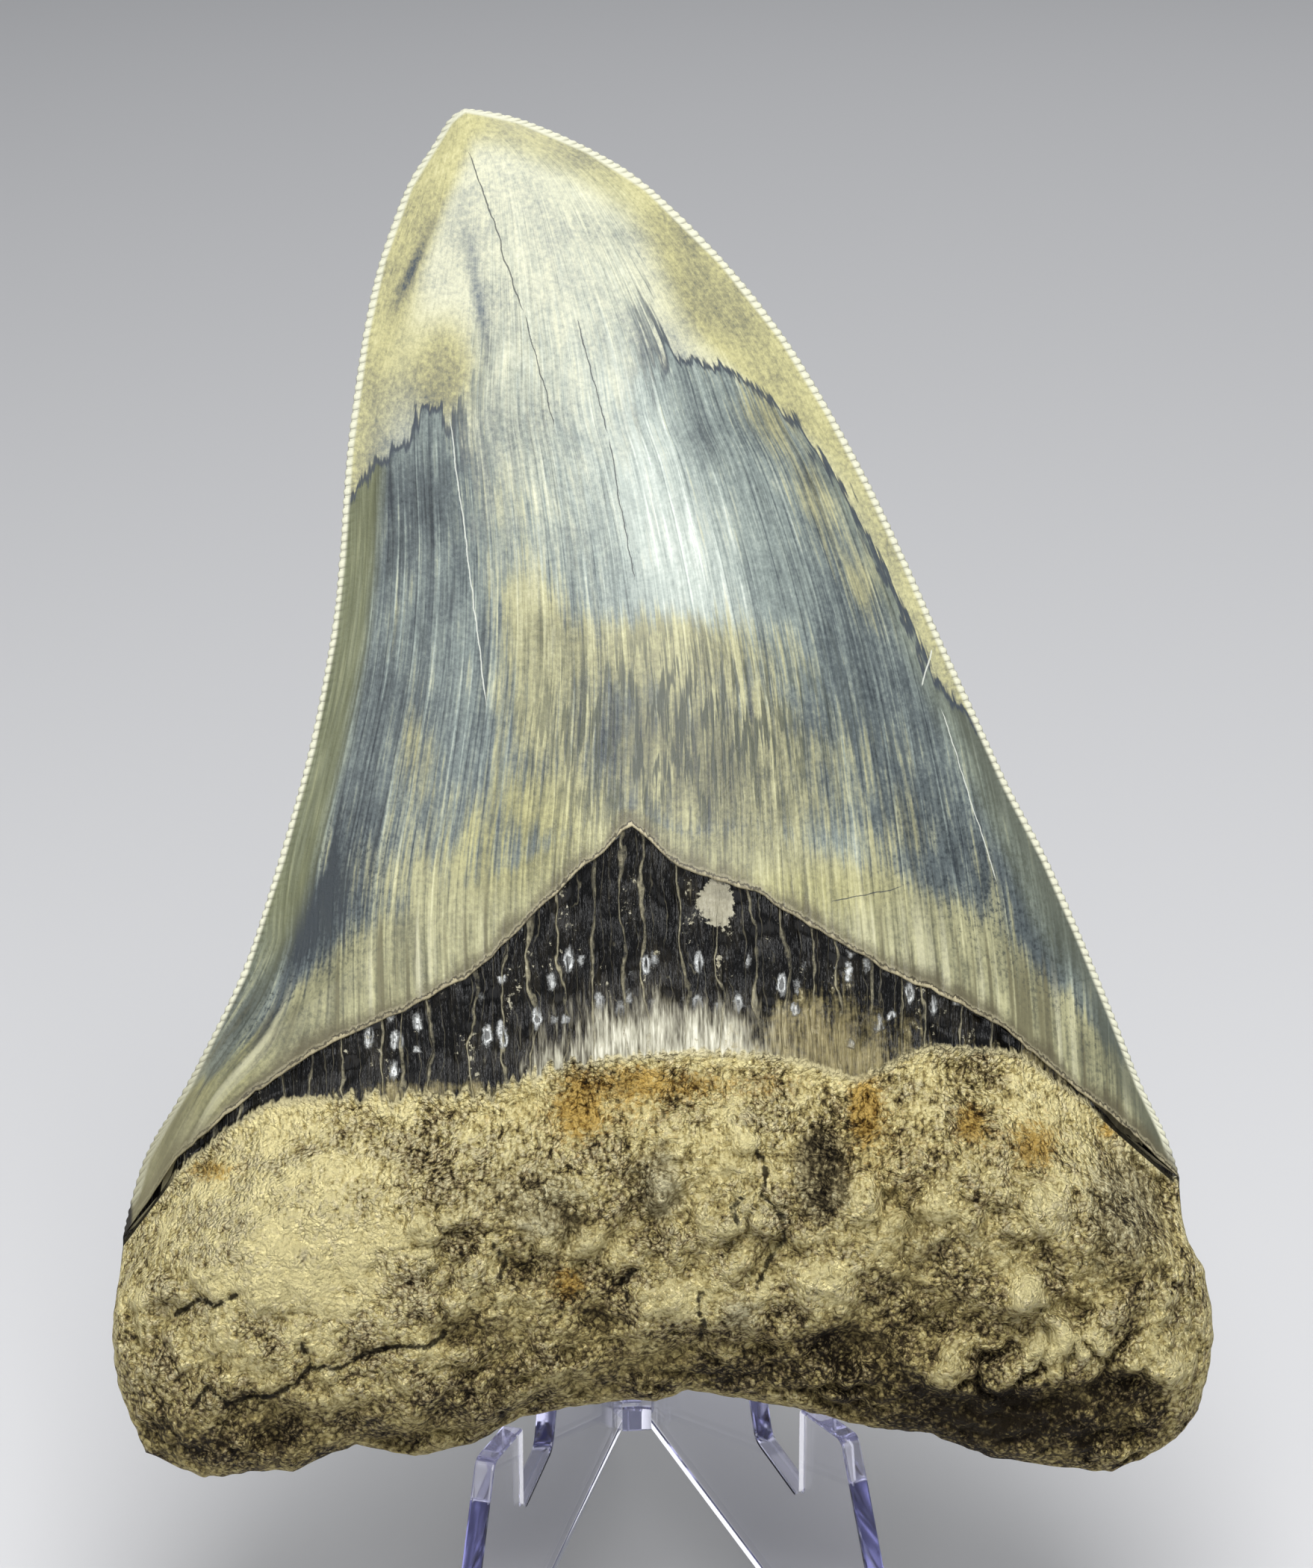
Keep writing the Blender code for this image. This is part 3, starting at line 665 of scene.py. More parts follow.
def enamel_material():
    material, tree, shader = new_material("fossil_enamel")
    place = tooth_place(tree)
    sideways, _, up = split(place)
    _, layer, streaks = fan_of_streaks(tree)
    broad = streaks(3, 26, 2, layer)
    middle = streaks(0.7, 8, 3, layer + 3.1)
    fine = streaks(0.22, 5.5, 3, layer + 5.7)
    light_hair = streaks(1.5, 130, 0, layer + 11.3, "Hair")
    dark_hair = streaks(1, 70, 0, layer + 15.9, "Hair")
    speckle = noises(place, 2.4, 4, Roughness=0.7)
    mottle = noises(place, 0.16, 5) * 3 - 1.5
    streak = broad * 0.16 + middle * 0.38 + fine * 0.66
    hair_shown = ramp(fine * 0.3 + mottle * 0.6, -0.9, 0.7)
    hairs = light_hair * hair_shown * 0.26 - dark_hair * 0.14
    dark, wrinkle, yellowness = (attribute(tree, name) for name in ("dark", "wrinkle", "yellow"))

    # blue-grey body, dark on the flanks and pale along the middle, where the pale is partly a
    # painted highlight
    tone = (
        streak * 0.22 + hairs - dark * 0.26 + attribute(tree, "pale") * 0.32 + mottle * 0.15
        + speckle * 0.5 + 0.25
    )
    body = colours(
        tone, (0.06, 0.03, 0.038, 0.044), (0.3, 0.098, 0.118, 0.12), (0.52, 0.225, 0.265, 0.245),
        (0.78, 0.44, 0.49, 0.44), (1, 0.66, 0.7, 0.64),
    )
    # cream patches with olive streaks, yellower to the sides and over the band
    middle_zone = blotch_mask(place, (2, 4), (19, 13)) * 0.88 + 0.12
    cream_dark = dark * (middle_zone * 0.17 + 0.1)
    cream_tone = streak * 0.19 + hairs * 0.8 + mottle * 0.2 + speckle * 0.5 - cream_dark + 0.21
    cream = colours(
        cream_tone, (0.05, 0.065, 0.066, 0.045), (0.3, 0.185, 0.182, 0.109),
        (0.55, 0.39, 0.376, 0.216), (0.78, 0.562, 0.547, 0.338), (1, 0.72, 0.705, 0.49),
    )
    yellow_cream = ramp(yellowness, 0.1, 0.8) * 0.55
    cream = mixed(yellow_cream, cream, (1, 0.97, 0.72), "MULTIPLY")
    patchy = attribute(tree, "cream") + streak * 0.5 + mottle * 0.34 + speckle * 0.3 - 0.15
    colour = mixed(ramp(patchy, 0.1, 0.8), body, cream)
    short = (
        streaks(0.24, 3.6, 2, layer + 40) * 0.9 + streaks(0.6, 5, 1, layer + 52) * 0.7
        + mottle * 0.35
    )
    short = ramp(short, 0, 0.36) * middle_zone
    colour = mixed(short * 0.92, colour, (0.058, 0.066, 0.05))
    # wrinkle folds: lighter ridges and darker valleys, partly the enamel's own cream and olive,
    # partly painted highlight and shade on the folds' relief
    fold = streaks(0.62, 45, 1, layer + 31) * wrinkle
    colour = mixed(ramp(fold, -0.2, -0.7) * 0.85, colour, (0.13, 0.12, 0.066))
    colour = mixed(ramp(fold, 0.1, 0.9) * 0.42, colour, (0.74, 0.715, 0.49))
    crease = ramp(fine * 0.8 + middle * 0.6, -0.45, -0.95) * wrinkle
    colour = mixed(crease * 0.6, colour, (0.12, 0.11, 0.064))
    flecks = ramp(speckle + fine * 0.08, 0.47, 0.36) * dark * ramp(up, 4, -8)
    colour = mixed(flecks * 0.7, colour, (0.03, 0.038, 0.042))
    # olive margin down both cutting edges
    edge_in = attribute(tree, "edge_in")
    wavering = edge_in + broad * 0.3 + fine * 0.2
    olive = colours(
        streak * 0.3 + 0.5, (0.1, 0.064, 0.07, 0.034), (0.5, 0.14, 0.148, 0.072),
        (0.9, 0.285, 0.29, 0.155),
    )
    left_edge = ramp(sideways, 5, -15) * 0.5 + 0.35
    left_edge = left_edge * (ramp(up, -21, -9) * 0.75 + 0.25)
    colour = mixed(ramp(wavering, 4, 2.2) * left_edge, colour, olive)
    strip = ramp(sideways, 21, 25.5) * ramp(wavering, 2.6, 1)
    colour = mixed(strip * 0.75, colour, (0.078, 0.086, 0.064))
    # cream tip, whiter at its middle and yellower to the sides
    jagged = streaks(0.55, 3.2, 3, layer + 21.7)
    tip_side = attribute(tree, "tip_side") + streak * 0.85 + fine * 0.4 + jagged * 2.2
    tip_tone = mottle * 0.28 + streak * 0.07 + hairs * 0.16 + speckle * 0.9 - dark * 0.5 + 0.03
    white = colours(
        tip_tone, (0, 0.12, 0.145, 0.165), (0.3, 0.34, 0.355, 0.295), (0.55, 0.555, 0.555, 0.41),
        (0.9, 0.74, 0.735, 0.56),
    )
    yellow = colours(
        tip_tone, (0, 0.06, 0.075, 0.088), (0.3, 0.262, 0.252, 0.148),
        (0.55, 0.468, 0.443, 0.222), (0.9, 0.65, 0.62, 0.352),
    )
    yellowed = yellowness + ramp(edge_in, 6, 0.8) * 0.75
    tip = mixed(ramp(yellowed, 0.15, 0.9), white, yellow)
    tip_sharp = attribute(tree, "tip_sharp")
    soft = mixed_value(tip_sharp, 5, 0.6)
    colour = mixed(ramp(tip_side / soft, -1, 1), colour, tip)
    rim = ramp(abs(tip_side + 0.5), 1.5, 0.35) * tip_sharp * ramp(up, -14, 6)
    colour = mixed(rim * 0.88, colour, (0.04, 0.05, 0.066))
    # worn cream beads along the cutting edges, with painted shade in the gaps between them
    colour = mixed(ramp(edge_in, 0.62, 0.3), colour, (0.64, 0.635, 0.49))
    colour = mixed(attribute(tree, "bead_gap_shade") * 0.92, colour, (0.06, 0.058, 0.04))
    # where the enamel ends: grey shadow, a dark line and a thin tan lip
    lip = attribute(tree, "base_up") + fine * 0.12 + speckle * 0.9 + mottle * 0.1 - 0.45
    uneven = ramp(mottle * 0.8 + fine * 0.5, -0.7, 0.5)
    shadow = ramp(lip + broad * 0.7 + middle * 0.4, 2, 0.3)
    shadow = shadow * (wrinkle * 0.15 + 0.72)
    colour = mixed(shadow, colour, (0.092, 0.08, 0.046))
    lit_lip = ramp(lip, 0.62, 0.4) * (uneven * 0.6 + 0.15)
    colour = mixed(lit_lip, colour, (0.33, 0.3, 0.19))
    colour = mixed(ramp(lip, 0.36, 0.26) * 0.85, colour, (0.045, 0.037, 0.022))
    worn_lip = ramp(lip, 0.18, 0.08) * (uneven * -0.7 + 1)
    colour = mixed(worn_lip, colour, (0.42, 0.37, 0.23))
    # painted shade: darker towards the crown's lower left corner
    colour = mixed(ramp(sideways, -34, -42) * 0.65, colour, (0.165, 0.15, 0.08))
    # painted shadow: near-black at the lower left corner, where the enamel's back side is in shade
    corner = blotch_mask(place, (-45, -36.4), (1.2, 3))
    colour = mixed(ramp(corner, 0.1, 0.6), colour, (0.02, 0.017, 0.012))
    front = attribute(tree, "front")
    coats = (CROWN_CRACKS, 0.85, (0.035, 0.04, 0.045)), (CROWN_SCRATCHES, 0.75, (0.66, 0.68, 0.6))
    for lines, amount, paint in coats:
        for start, end, width, wander in lines:
            inputs = {"Place": place, "Start": start, "End": end, "Width": width, "Wander": wander}
            line = result(tree, "Group", inputs, node_tree=HAIRLINE)
            colour = mixed(line * front * amount, colour, paint)
    relief = streak * 0.5 + speckle * 1.6 + fold * 1.6
    fill(shader, {
        "Base Color": colour,
        "Roughness": speckle * 0.22 + streak * 0.04 + 0.23,
        "Normal": result(tree, "Bump", {"Strength": 0.5, "Distance": 0.00007, "Height": relief}),
        "IOR": 1.55,
    })
    return material


ENAMEL = enamel_material()
crown = crown_body()
paint_enamel(crown)
crown.transform(tooth_matrix)
finished("tooth_crown", crown, ENAMEL, "tooth")


# Cutting edges: the enamel's two edges, each a fine saw of worn, rounded beads from the tip to
# the corner. Each edge is a closed wedge that grows out of the crown's faces.
BEAD_SECTIONS = 8
BEAD_HEIGHT = 0.42
BEAD_REST = 0.72
BEAD_WEAR = 0.25
WEDGE_MOST = 0.45
EDGE_PROBE = 0.002
EDGE = -1
LEFT_BEADS = 130
RIGHT_BEADS = 156
# Across the wedge, from inside the crown over its front to the edge: how far in, how far the
# surface lifts off the crown, and how much of each bead's height it takes.
WEDGE = [
    (1.9, -0.1, 0), (1.45, -0.01, 0), (1, 0.015, 0.1), (0.68, 0.04, 0.35), (0.42, 0.075, 0.65),
    (0.2, 0.1, 0.9), (0.06, 0.075, 1),
]


def cutting_edge(body, edge_line, beads, left):
    sections = beads * BEAD_SECTIONS
    profile = [(k, True) for k in range(len(WEDGE))] + [(EDGE, True)]
    profile = [(0, True), *profile, *((k, False) for k in reversed(range(len(WEDGE)))), (0, False)]
    last = len(profile) - 1
    rows = []
    for row in range(sections + 1):
        step = row / sections
        run = along(edge_line, step + EDGE_PROBE) - along(edge_line, step - EDGE_PROBE)
        out = Vector((run.y, -run.x) if left else (-run.y, run.x)).normalized()
        rows.append((CrownRow(step), out))
    for vert, column, row in sheet_places(body, last, sections):
        crown_row, out = rows[row]
        phase = (row % BEAD_SECTIONS) / BEAD_SECTIONS
        lobe = math.sqrt(max(1 - (2 * phase - 1) ** 2, 0))
        wear_and_glints = noise.noise((row / BEAD_SECTIONS * 0.35, 5 if left else 9, 0))
        wear_and_glints = 1 - BEAD_WEAR + BEAD_WEAR * wear_and_glints
        kind, front = profile[column]
        inward, lift, take = (0, 0, 1) if kind == EDGE else WEDGE[kind]
        share = min(inward / max(crown_row.width, 1e-6), WEDGE_MOST * inward / WEDGE[0][0])
        across = share if left else 1 - share
        if row in (0, sections):
            spot, depth = along(edge_line, row / sections), 0
        elif column in (0, last):
            spot, depth, take = crown_row.point(across, True), 0, 0
        else:
            grown = smoothstep(min(row, sections - row), 0, 2 * BEAD_SECTIONS)
            swell = out * BEAD_HEIGHT * wear_and_glints * (lobe - BEAD_REST) * take * grown
            spot = crown_row.point(across, front) + swell
            depth = (1 if front else -1) * lift * (1 + 0.9 * (lobe - 0.8) * take) * grown
            depth += crown_row.depth(share, front)
        vert.co = in_place(spot, depth)
        # Marks the valleys between the beads, for painted shade.
        vert[bead_gap_shade] = (1 - smoothstep(lobe, 0.25, 0.85)) * smoothstep(take, 0.2, 0.6)


edges = bmesh.new()
bead_gap_shade = edges.verts.layers.float.new("bead_gap_shade")
cutting_edge(edges, LEFT_CROWN_EDGE, LEFT_BEADS, True)
cutting_edge(edges, RIGHT_CROWN_EDGE, RIGHT_BEADS, False)
paint_enamel(welded(edges))
edges.transform(tooth_matrix)
finished("tooth_cutting_edges", edges, ENAMEL, "tooth")


# Root: the heavy two-lobed root, tan and porous with knobs, hollows, cracks and iron stains, and
# over it the near-black glossy band of smooth dentine that the enamel's lip stands over.
LOBE_SIDES = [
    [(-45, -39), (-45.4, -43.5), (-45.5, -47.3), (-44.8, -51), (-42.8, -56)],
    [(44.1, -34), (44.5, -37.8), (45.9, -41), (46.6, -46.6), (45.4, -52.4)],
]
ROOT_BOTTOM = [
    (-42.8, -56), (-40.3, -57), (-37.7, -58.1), (-34, -57.6), (-30.2, -57.5), (-27.4, -56.1),
    (-24.9, -55.3), (-20.1, -56.3), (-15.1, -55.1), (-11.3, -53), (-7.5, -52.2), (-2.5, -51.5),
    (0.1, -51.7), (2.6, -50.7), (7.6, -51.5), (12.7, -52.5), (17.7, -53.8), (22.7, -54.3),
    (27.8, -56.3), (32.8, -57.1), (37.9, -57.6), (41, -56.3), (43.4, -54.9), (45.4, -52.4),
]
ROOT_TOP = [
    (-45, -39), (-40.4, -33), (-36.2, -29.4), (-32.4, -27), (-28.3, -26.2), (-19.3, -26),
    (-14.6, -25.6), (-10.9, -24.6), (-8.1, -23.3), (-1.9, -22.6), (2.8, -22.2), (7.9, -22.4),
    (11.5, -22.9), (16.6, -24.6), (22.4, -21.9), (29.9, -22.6), (36.1, -27), (44.1, -34),
]
BACK_ROOT_TOP = [
    (-45, -39), (-39, -34.3), (-30, -29), (-15, -24.2), (-1, -21.8), (14, -22.7), (29, -26.5),
    (38.5, -30.8), (44.1, -34),
]
BAND_RECESS = 0.45
BAND_EASE = 1.15
BAND_UPRIGHTS = 0.34
BAND_DIMPLES = 1.1
DIMPLE_START = 0.14
# The gap under the lip at the corners, painted near-black as shade: how deep, and over which shares
# of the width.
CORNER_GAP = 1.1
RIGHT_GAP_STARTS, RIGHT_GAP_ENDS = (0.9, 0.955), (0.985, 1)
LEFT_GAP, LEFT_GAP_ENDS = 0.6, (0.03, 0.07)
# The root's first rows stand tucked up behind the lip.
TUCKED_UP = 1.8
TUCKED_BAND = 2
ROOT_MIDDLE = 2.6
ROOT_FRONT = 13
ROOT_BACK = 7.9
ROOT_BACK_SKEW = 1.6
ROOT_SQUARENESS = 4
ROOT_SWELL_END = 0.34
ROOT_ROUND_START = 0.3
ROOT_ROUNDNESS = 2.4
LOBE_SIDE_TURN = 0.5
LOBE_SIDE_REACH = 3
ROOT_SIDES = -45.5, 46.6
# Lumps (+) and hollows (-) of the root's front: x, y, radius, height.
ROOT_LUMPS = [
    (0.6, -42.5, 3.4, 1.1), (6, -43.5, 2.8, 1), (13.2, -41.5, 3.6, 1), (22.7, -48.3, 3.6, 1.3),
    (30.2, -42.2, 3, 1.3), (34.3, -46.3, 3.6, 1.2), (42, -47.5, 3.2, 0.9), (-17, -35, 6, 0.8),
    (-33, -42, 7, 0.9), (5.5, -31, 5, 0.7), (-30, -52, 5.5, 0.8), (38.5, -37, 4.5, 0.7),
    (16.8, -46.4, 4, -1.5), (-11.2, -39.1, 2.2, -0.9), (-5, -43, 2.2, -0.9),
    (26.5, -46.5, 2.4, -0.7), (-40, -43.5, 2.6, -0.6),
]
LUMP_FALLOFF = 1.6
# The crease over the root's lower edge: wide below its line and so much of that above it.
CREASE = [(-31.1, -51), (-24, -54.2), (-13.7, -53.7), (-8.9, -51), (-0.9, -48.7)]
CREASE_WIDTH = 1.6
CREASE_ABOVE = 0.45
CREASE_DEPTH = 1.1
# The ragged recess that runs on from the crease under the knobs.
RECESS = [
    (-24, -55.2), (-18.3, -54.5), (-12.9, -53.4), (-9.6, -50.4), (-4.6, -49), (1.3, -47),
    (6, -47.4), (11.5, -45.6), (16, -45.2), (19.3, -47.2), (22.8, -50.6), (28, -51.6),
    (33.5, -50.6), (38, -48.6),
]
RECESS_BELOW, RECESS_ABOVE = 2.34, 0.9
RECESS_DEPTH = 1
# Where the root is calm, as blotches, and how much of its relief goes there.
CALMING = 0.72
CALM_PATCHES = [
    (-31, -38, 15, 12, 0, 1), (-14, -29, 12, 5, 0, 0.8), (10, -26, 16, 4, 0, 0.9),
    (36, -31, 8, 6, 0, 0.6),
]
KNOB_SCALE = 0.2
KNOB_HEIGHT = 1.8
KNOB_SEAM = 0.85
KNOB_SEAM_WIDTH = 0.22
KNOB_WARP = 1.7
FLAKE_SCALE = 0.62
FLAKE_HEIGHT = 0.42
FLAKE_SEAM = 0.26
FLAKE_SEAM_WIDTH = 0.26
GRAIN_HEIGHT = 0.42
PROUD_RANGE = -0.95, 1.1
ROUGHNESS_SCALE = 0.16
ROUGHNESS_HEIGHT = 0.75
ROOT_UNEVEN = 0.16
BACK_RELIEF = 0.5
RELIEF_FADE_DOWN = 0.25
RELIEF_FADE_ACROSS = 0.08
SMALL_FADE_DOWN = 0.06
SMALL_FADE_ACROSS = 0.02
ROOT_COLUMNS = 270
TUCKED_ROWS = 3
BAND_ROWS = 44
ROOT_ROWS = 112
# Smaller features than the lumps: knobs with a steep lower side, and dark pits.
KNOBS = [
    (30.2, -41.8, 2.3, 0.9), (34.2, -45.8, 2.4, 0.8), (37.4, -43.4, 1.9, 0.6),
    (22.8, -48.2, 2.2, 0.8), (43.2, -43, 1.9, 0.5), (41.6, -48.4, 2.6, 0.7), (6.2, -43.4, 2.6, 0.5),
    (0.2, -42.8, 2.4, 0.4), (13.4, -41.2, 2, 0.5), (35.4, -51, 2.6, 0.5), (29.5, -36.4, 1.7, 0.5),
    (25, -41.5, 2.2, 0.4),
]
PITS = [
    (-7.3, -36.2, 1.5, 0.6), (-4.3, -35.3, 0.9, 0.5), (-10.8, -39.4, 1.2, 0.7),
    (-4.8, -43.6, 1.4, 0.8), (-16, -44.6, 1.6, 0.6), (-36.2, -36.8, 1, 0.3), (32, -38.2, 1.1, 0.5),
    (-25, -52.2, 1, 0.6), (-31.5, -53.5, 0.8, 0.5), (18.2, -44.4, 1.8, 0.5),
    (30.6, -44.8, 1.2, 0.5), (-40.6, -50.2, 0.9, 0.4),
]
CRACKS = [
    [(-38.2, -51.2), (-36.7, -49.4), (-35.1, -51), (-33.3, -50.3), (-31.6, -50.2),
     (-29.6, -49.1), (-28.2, -47.6), (-25.8, -47.6), (-22.9, -46.2), (-21, -45.8),
     (-18.5, -45.8), (-17.2, -44.7)],
    [(-39.5, -43.6), (-37.1, -42.1), (-36, -42.5), (-34.2, -41.7)],
    [(-28.9, -45.6), (-28.2, -47.6)], [(3.7, -41.2), (3.2, -42.6), (3.9, -43.6), (3.5, -45.4)],
    [(8, -29.5), (8.9, -31.4), (8.6, -33.3), (10.2, -35.2), (10.4, -37.1), (9.1, -38.6),
     (8.2, -40.9)],
    [(7, -33.4), (6.1, -34.2), (6.6, -35.5)], [(-1.9, -39.4), (-2.8, -40.6), (-2.2, -42)],
    [(-13.4, -37.2), (-12.2, -38.8), (-12.8, -40.2)],
]
CRACK_WIDTH = 0.34
CRACK_DEPTH = 0.5
NO_CRACK = 9
# Stains and patches: x, y, half width, half height, lean, amount.
STAINS = [
    (-6.5, -26.4, 2, 3, 0, 0.8), (-1.9, -24.2, 3, 1.6, 0, 0.7), (3.2, -24.6, 3, 1.4, 0, 0.6),
    (9.5, -24.6, 3, 1.4, 0, 0.4), (17.1, -26.4, 1.3, 2.6, 0, 1.2), (-7.2, -40.8, 1.6, 1.6, 0, 0.9),
    (25.8, -27.8, 1.2, 1.4, 0, 0.9), (38, -28.9, 1.1, 0.7, 0, 1), (-37.1, -32.2, 2.2, 1, -0.4, 0.8),
    (31.3, -29.8, 2, 1.9, 0, 0.8), (-3, -27, 9, 2.6, 0, 0.35), (18.5, -30, 4, 6, 0, 0.28),
    (28, -29, 5, 3, 0, 0.25),
]
GREY_PATCHES = [
    (13.4, -31.8, 2.4, 4.4, 0, 1.3), (0, -32.6, 2.6, 4, 0, 0.9), (-14.5, -33, 7, 5, 0, 0.5),
    (38.5, -35, 5, 6, 0, 0.9), (-8, -34, 4, 5, 0, 0.5), (24, -38, 6, 3.5, 0, 0.5),
    (6.8, -43.2, 2.6, 2.6, 0, 0.8),
]
# The bright patches are partly paler bone and partly painted light on the knob tops and the upper
# left lobe.
BRIGHT_AND_LIT_PATCHES = [
    (-33, -35, 9.5, 7, 0, 0.95), (-25, -41, 8, 5.5, 0, 0.35), (6.2, -30.6, 4.8, 5.2, 0, 0.34),
    (30.4, -41.6, 2.2, 2.4, 0, 0.45), (31, -32, 3.4, 4, 0, 0.4), (34.5, -46.4, 2.6, 2.2, 0, 0.4),
    (-17.5, -29, 9, 2.5, 0, 0.25), (13.8, -41.4, 2.2, 2, 0, 0.35), (33.2, -35.2, 1.8, 1.8, 0, 0.3),
    (22.6, -48.2, 1.9, 1.5, 0, 0.3), (42.6, -45.6, 3, 2.4, 0, 0.25),
    (2.2, -42.2, 1.8, 2.4, 0, 0.35), (0.4, -32, 2, 2.4, 0, 0.2), (4.4, -26.6, 3.6, 2, 0, 0.25),
]
# The dark patches are partly dirt and dark bone, partly painted shade along the bottom, under the
# knobs and in the pits.
DIRT_AND_SHADE_PATCHES = [
    (-33, -55, 12, 3.6, 0, 0.5), (15.6, -45, 4.2, 1.8, 0, 0.75), (20.4, -48, 3.8, 2.2, 0, 0.6),
    (28.5, -52, 9.5, 3.5, 0, 1.15), (13.4, -31.8, 2.2, 4.2, 0, 0.9), (-6.2, -35.6, 2.2, 1, 0, 0.8),
    (24, -55, 16, 3.4, 0, 0.6), (6, -48.5, 12, 2.2, 0, 0.45), (40, -38, 4, 6, 0, 0.25),
    (38, -49.5, 5, 3.6, 0, 0.5), (-15.5, -44.5, 2.2, 2, 0, 0.6), (-10.8, -39.6, 1.3, 1.5, 0, 0.8),
    (-4.8, -43.6, 1.6, 1.4, 0, 0.9), (32.6, -38, 1.3, 1, 0, 0.8), (38.8, -42.8, 1.4, 3.6, 0, 0.4),
    (-13, -34, 4, 5, 0, 0.25), (-41, -53.8, 5, 3, 0, 0.5), (22, -35, 4, 6, 0, 0.2),
]


def root_depth(share, step, front, top):
    """The swelling root: level with the crown at its top, rounded over below and at the sides."""
    side = 2 * share - 1
    middle = ROOT_MIDDLE * smoothstep(step / LOBE_SIDE_TURN)
    if abs(side) == 1:
        return middle
    round_side = math.sqrt(max(1 - abs(side) ** ROOT_SQUARENESS, 0))
    if front:
        full = ROOT_MIDDLE + ROOT_FRONT * round_side
    else:
        full = ROOT_MIDDLE - (ROOT_BACK + ROOT_BACK_SKEW * side) * round_side
    depth = top + (full - top) * smoothstep(step / ROOT_SWELL_END)
    over = max(step - ROOT_ROUND_START, 0) / (1 - ROOT_ROUND_START)
    return middle + (depth - middle) * math.sqrt(max(1 - over ** ROOT_ROUNDNESS, 0))


def drift(place):
    """A smooth random vector at a place."""
    shifts = (0, 0, 0), (31.4, 0, 0), (0, 47.1, 0)
    return Vector([noise.noise(place + Vector(shift)) for shift in shifts])


def root_relief(spot, depth):
    """Lumps, hollows, the overhanging crease and the rough grain of the root."""
    height = 0
    for x, y, radius, rise in ROOT_LUMPS:
        reach = math.hypot(spot.x - x, spot.y - y) / radius
        height += rise * math.exp(-LUMP_FALLOFF * reach * reach)
    gap, side = nearest_on(CREASE, spot)
    width = CREASE_WIDTH if side < 0 else CREASE_WIDTH * CREASE_ABOVE
    height -= CREASE_DEPTH * math.exp(-((gap / width) ** 2))
    seat = Vector((spot.x, spot.y, depth)) * ROUGHNESS_SCALE
    return height + ROUGHNESS_HEIGHT * noise.fractal(seat, 1, 2, 3)


def fine_relief(spot, depth, front):
    """Knobs with steep lower sides, pits, seams and small grain, on top of the main relief."""
    height = 0
    if front:
        warp = drift(Vector((spot.x, spot.y, 17)) * 0.42) * KNOB_WARP
        for x, y, radius, rise in KNOBS:
            down = spot.y - y + warp.y
            reach = math.hypot(spot.x - x + warp.x, down * (1.9 if down < 0 else 1)) / radius
            if reach < 2:
                height += rise * math.exp(-(reach ** 3))
        for x, y, radius, deep in PITS:
            reach = math.hypot(spot.x - x, spot.y - y) / radius
            if reach < 2:
                height -= deep * math.exp(-reach * reach)
    rugged = 1 - CALMING * min(blotched(spot, CALM_PATCHES), 1)
    place = Vector((spot.x, spot.y, depth * 0.6 + (0 if front else 60)))
    bent = place + 3 * drift(place * 0.2) + 1.1 * drift(place * 0.6)
    varied = 0.55 + 1.1 * noise.noise(place * 0.16 + Vector((3, 1, 5)))
    for scale, amount, rise, seam, seam_width in (
        (KNOB_SCALE, rugged * varied, KNOB_HEIGHT, KNOB_SEAM, KNOB_SEAM_WIDTH),
        (FLAKE_SCALE, 0.5 + 0.5 * rugged, FLAKE_HEIGHT, FLAKE_SEAM, FLAKE_SEAM_WIDTH),
    ):
        near, second = noise.voronoi(bent * scale)[0][:2]
        height += rise * amount * (0.5 - min(near / 0.6, 1) ** 2)
        height -= seam * amount * (1 - smoothstep(second - near, 0, seam_width))
        bent = place + drift(place * 0.8)
    if front:
        gap, side = nearest_on(RECESS, spot)
        width = RECESS_BELOW if side < 0 else RECESS_ABOVE
        height -= RECESS_DEPTH * math.exp(-((gap / width) ** 2))
    grain = GRAIN_HEIGHT * noise.fractal(place * 0.55, 0.75, 2.1, 4)
    return height + (0.35 + 0.65 * rugged) * grain


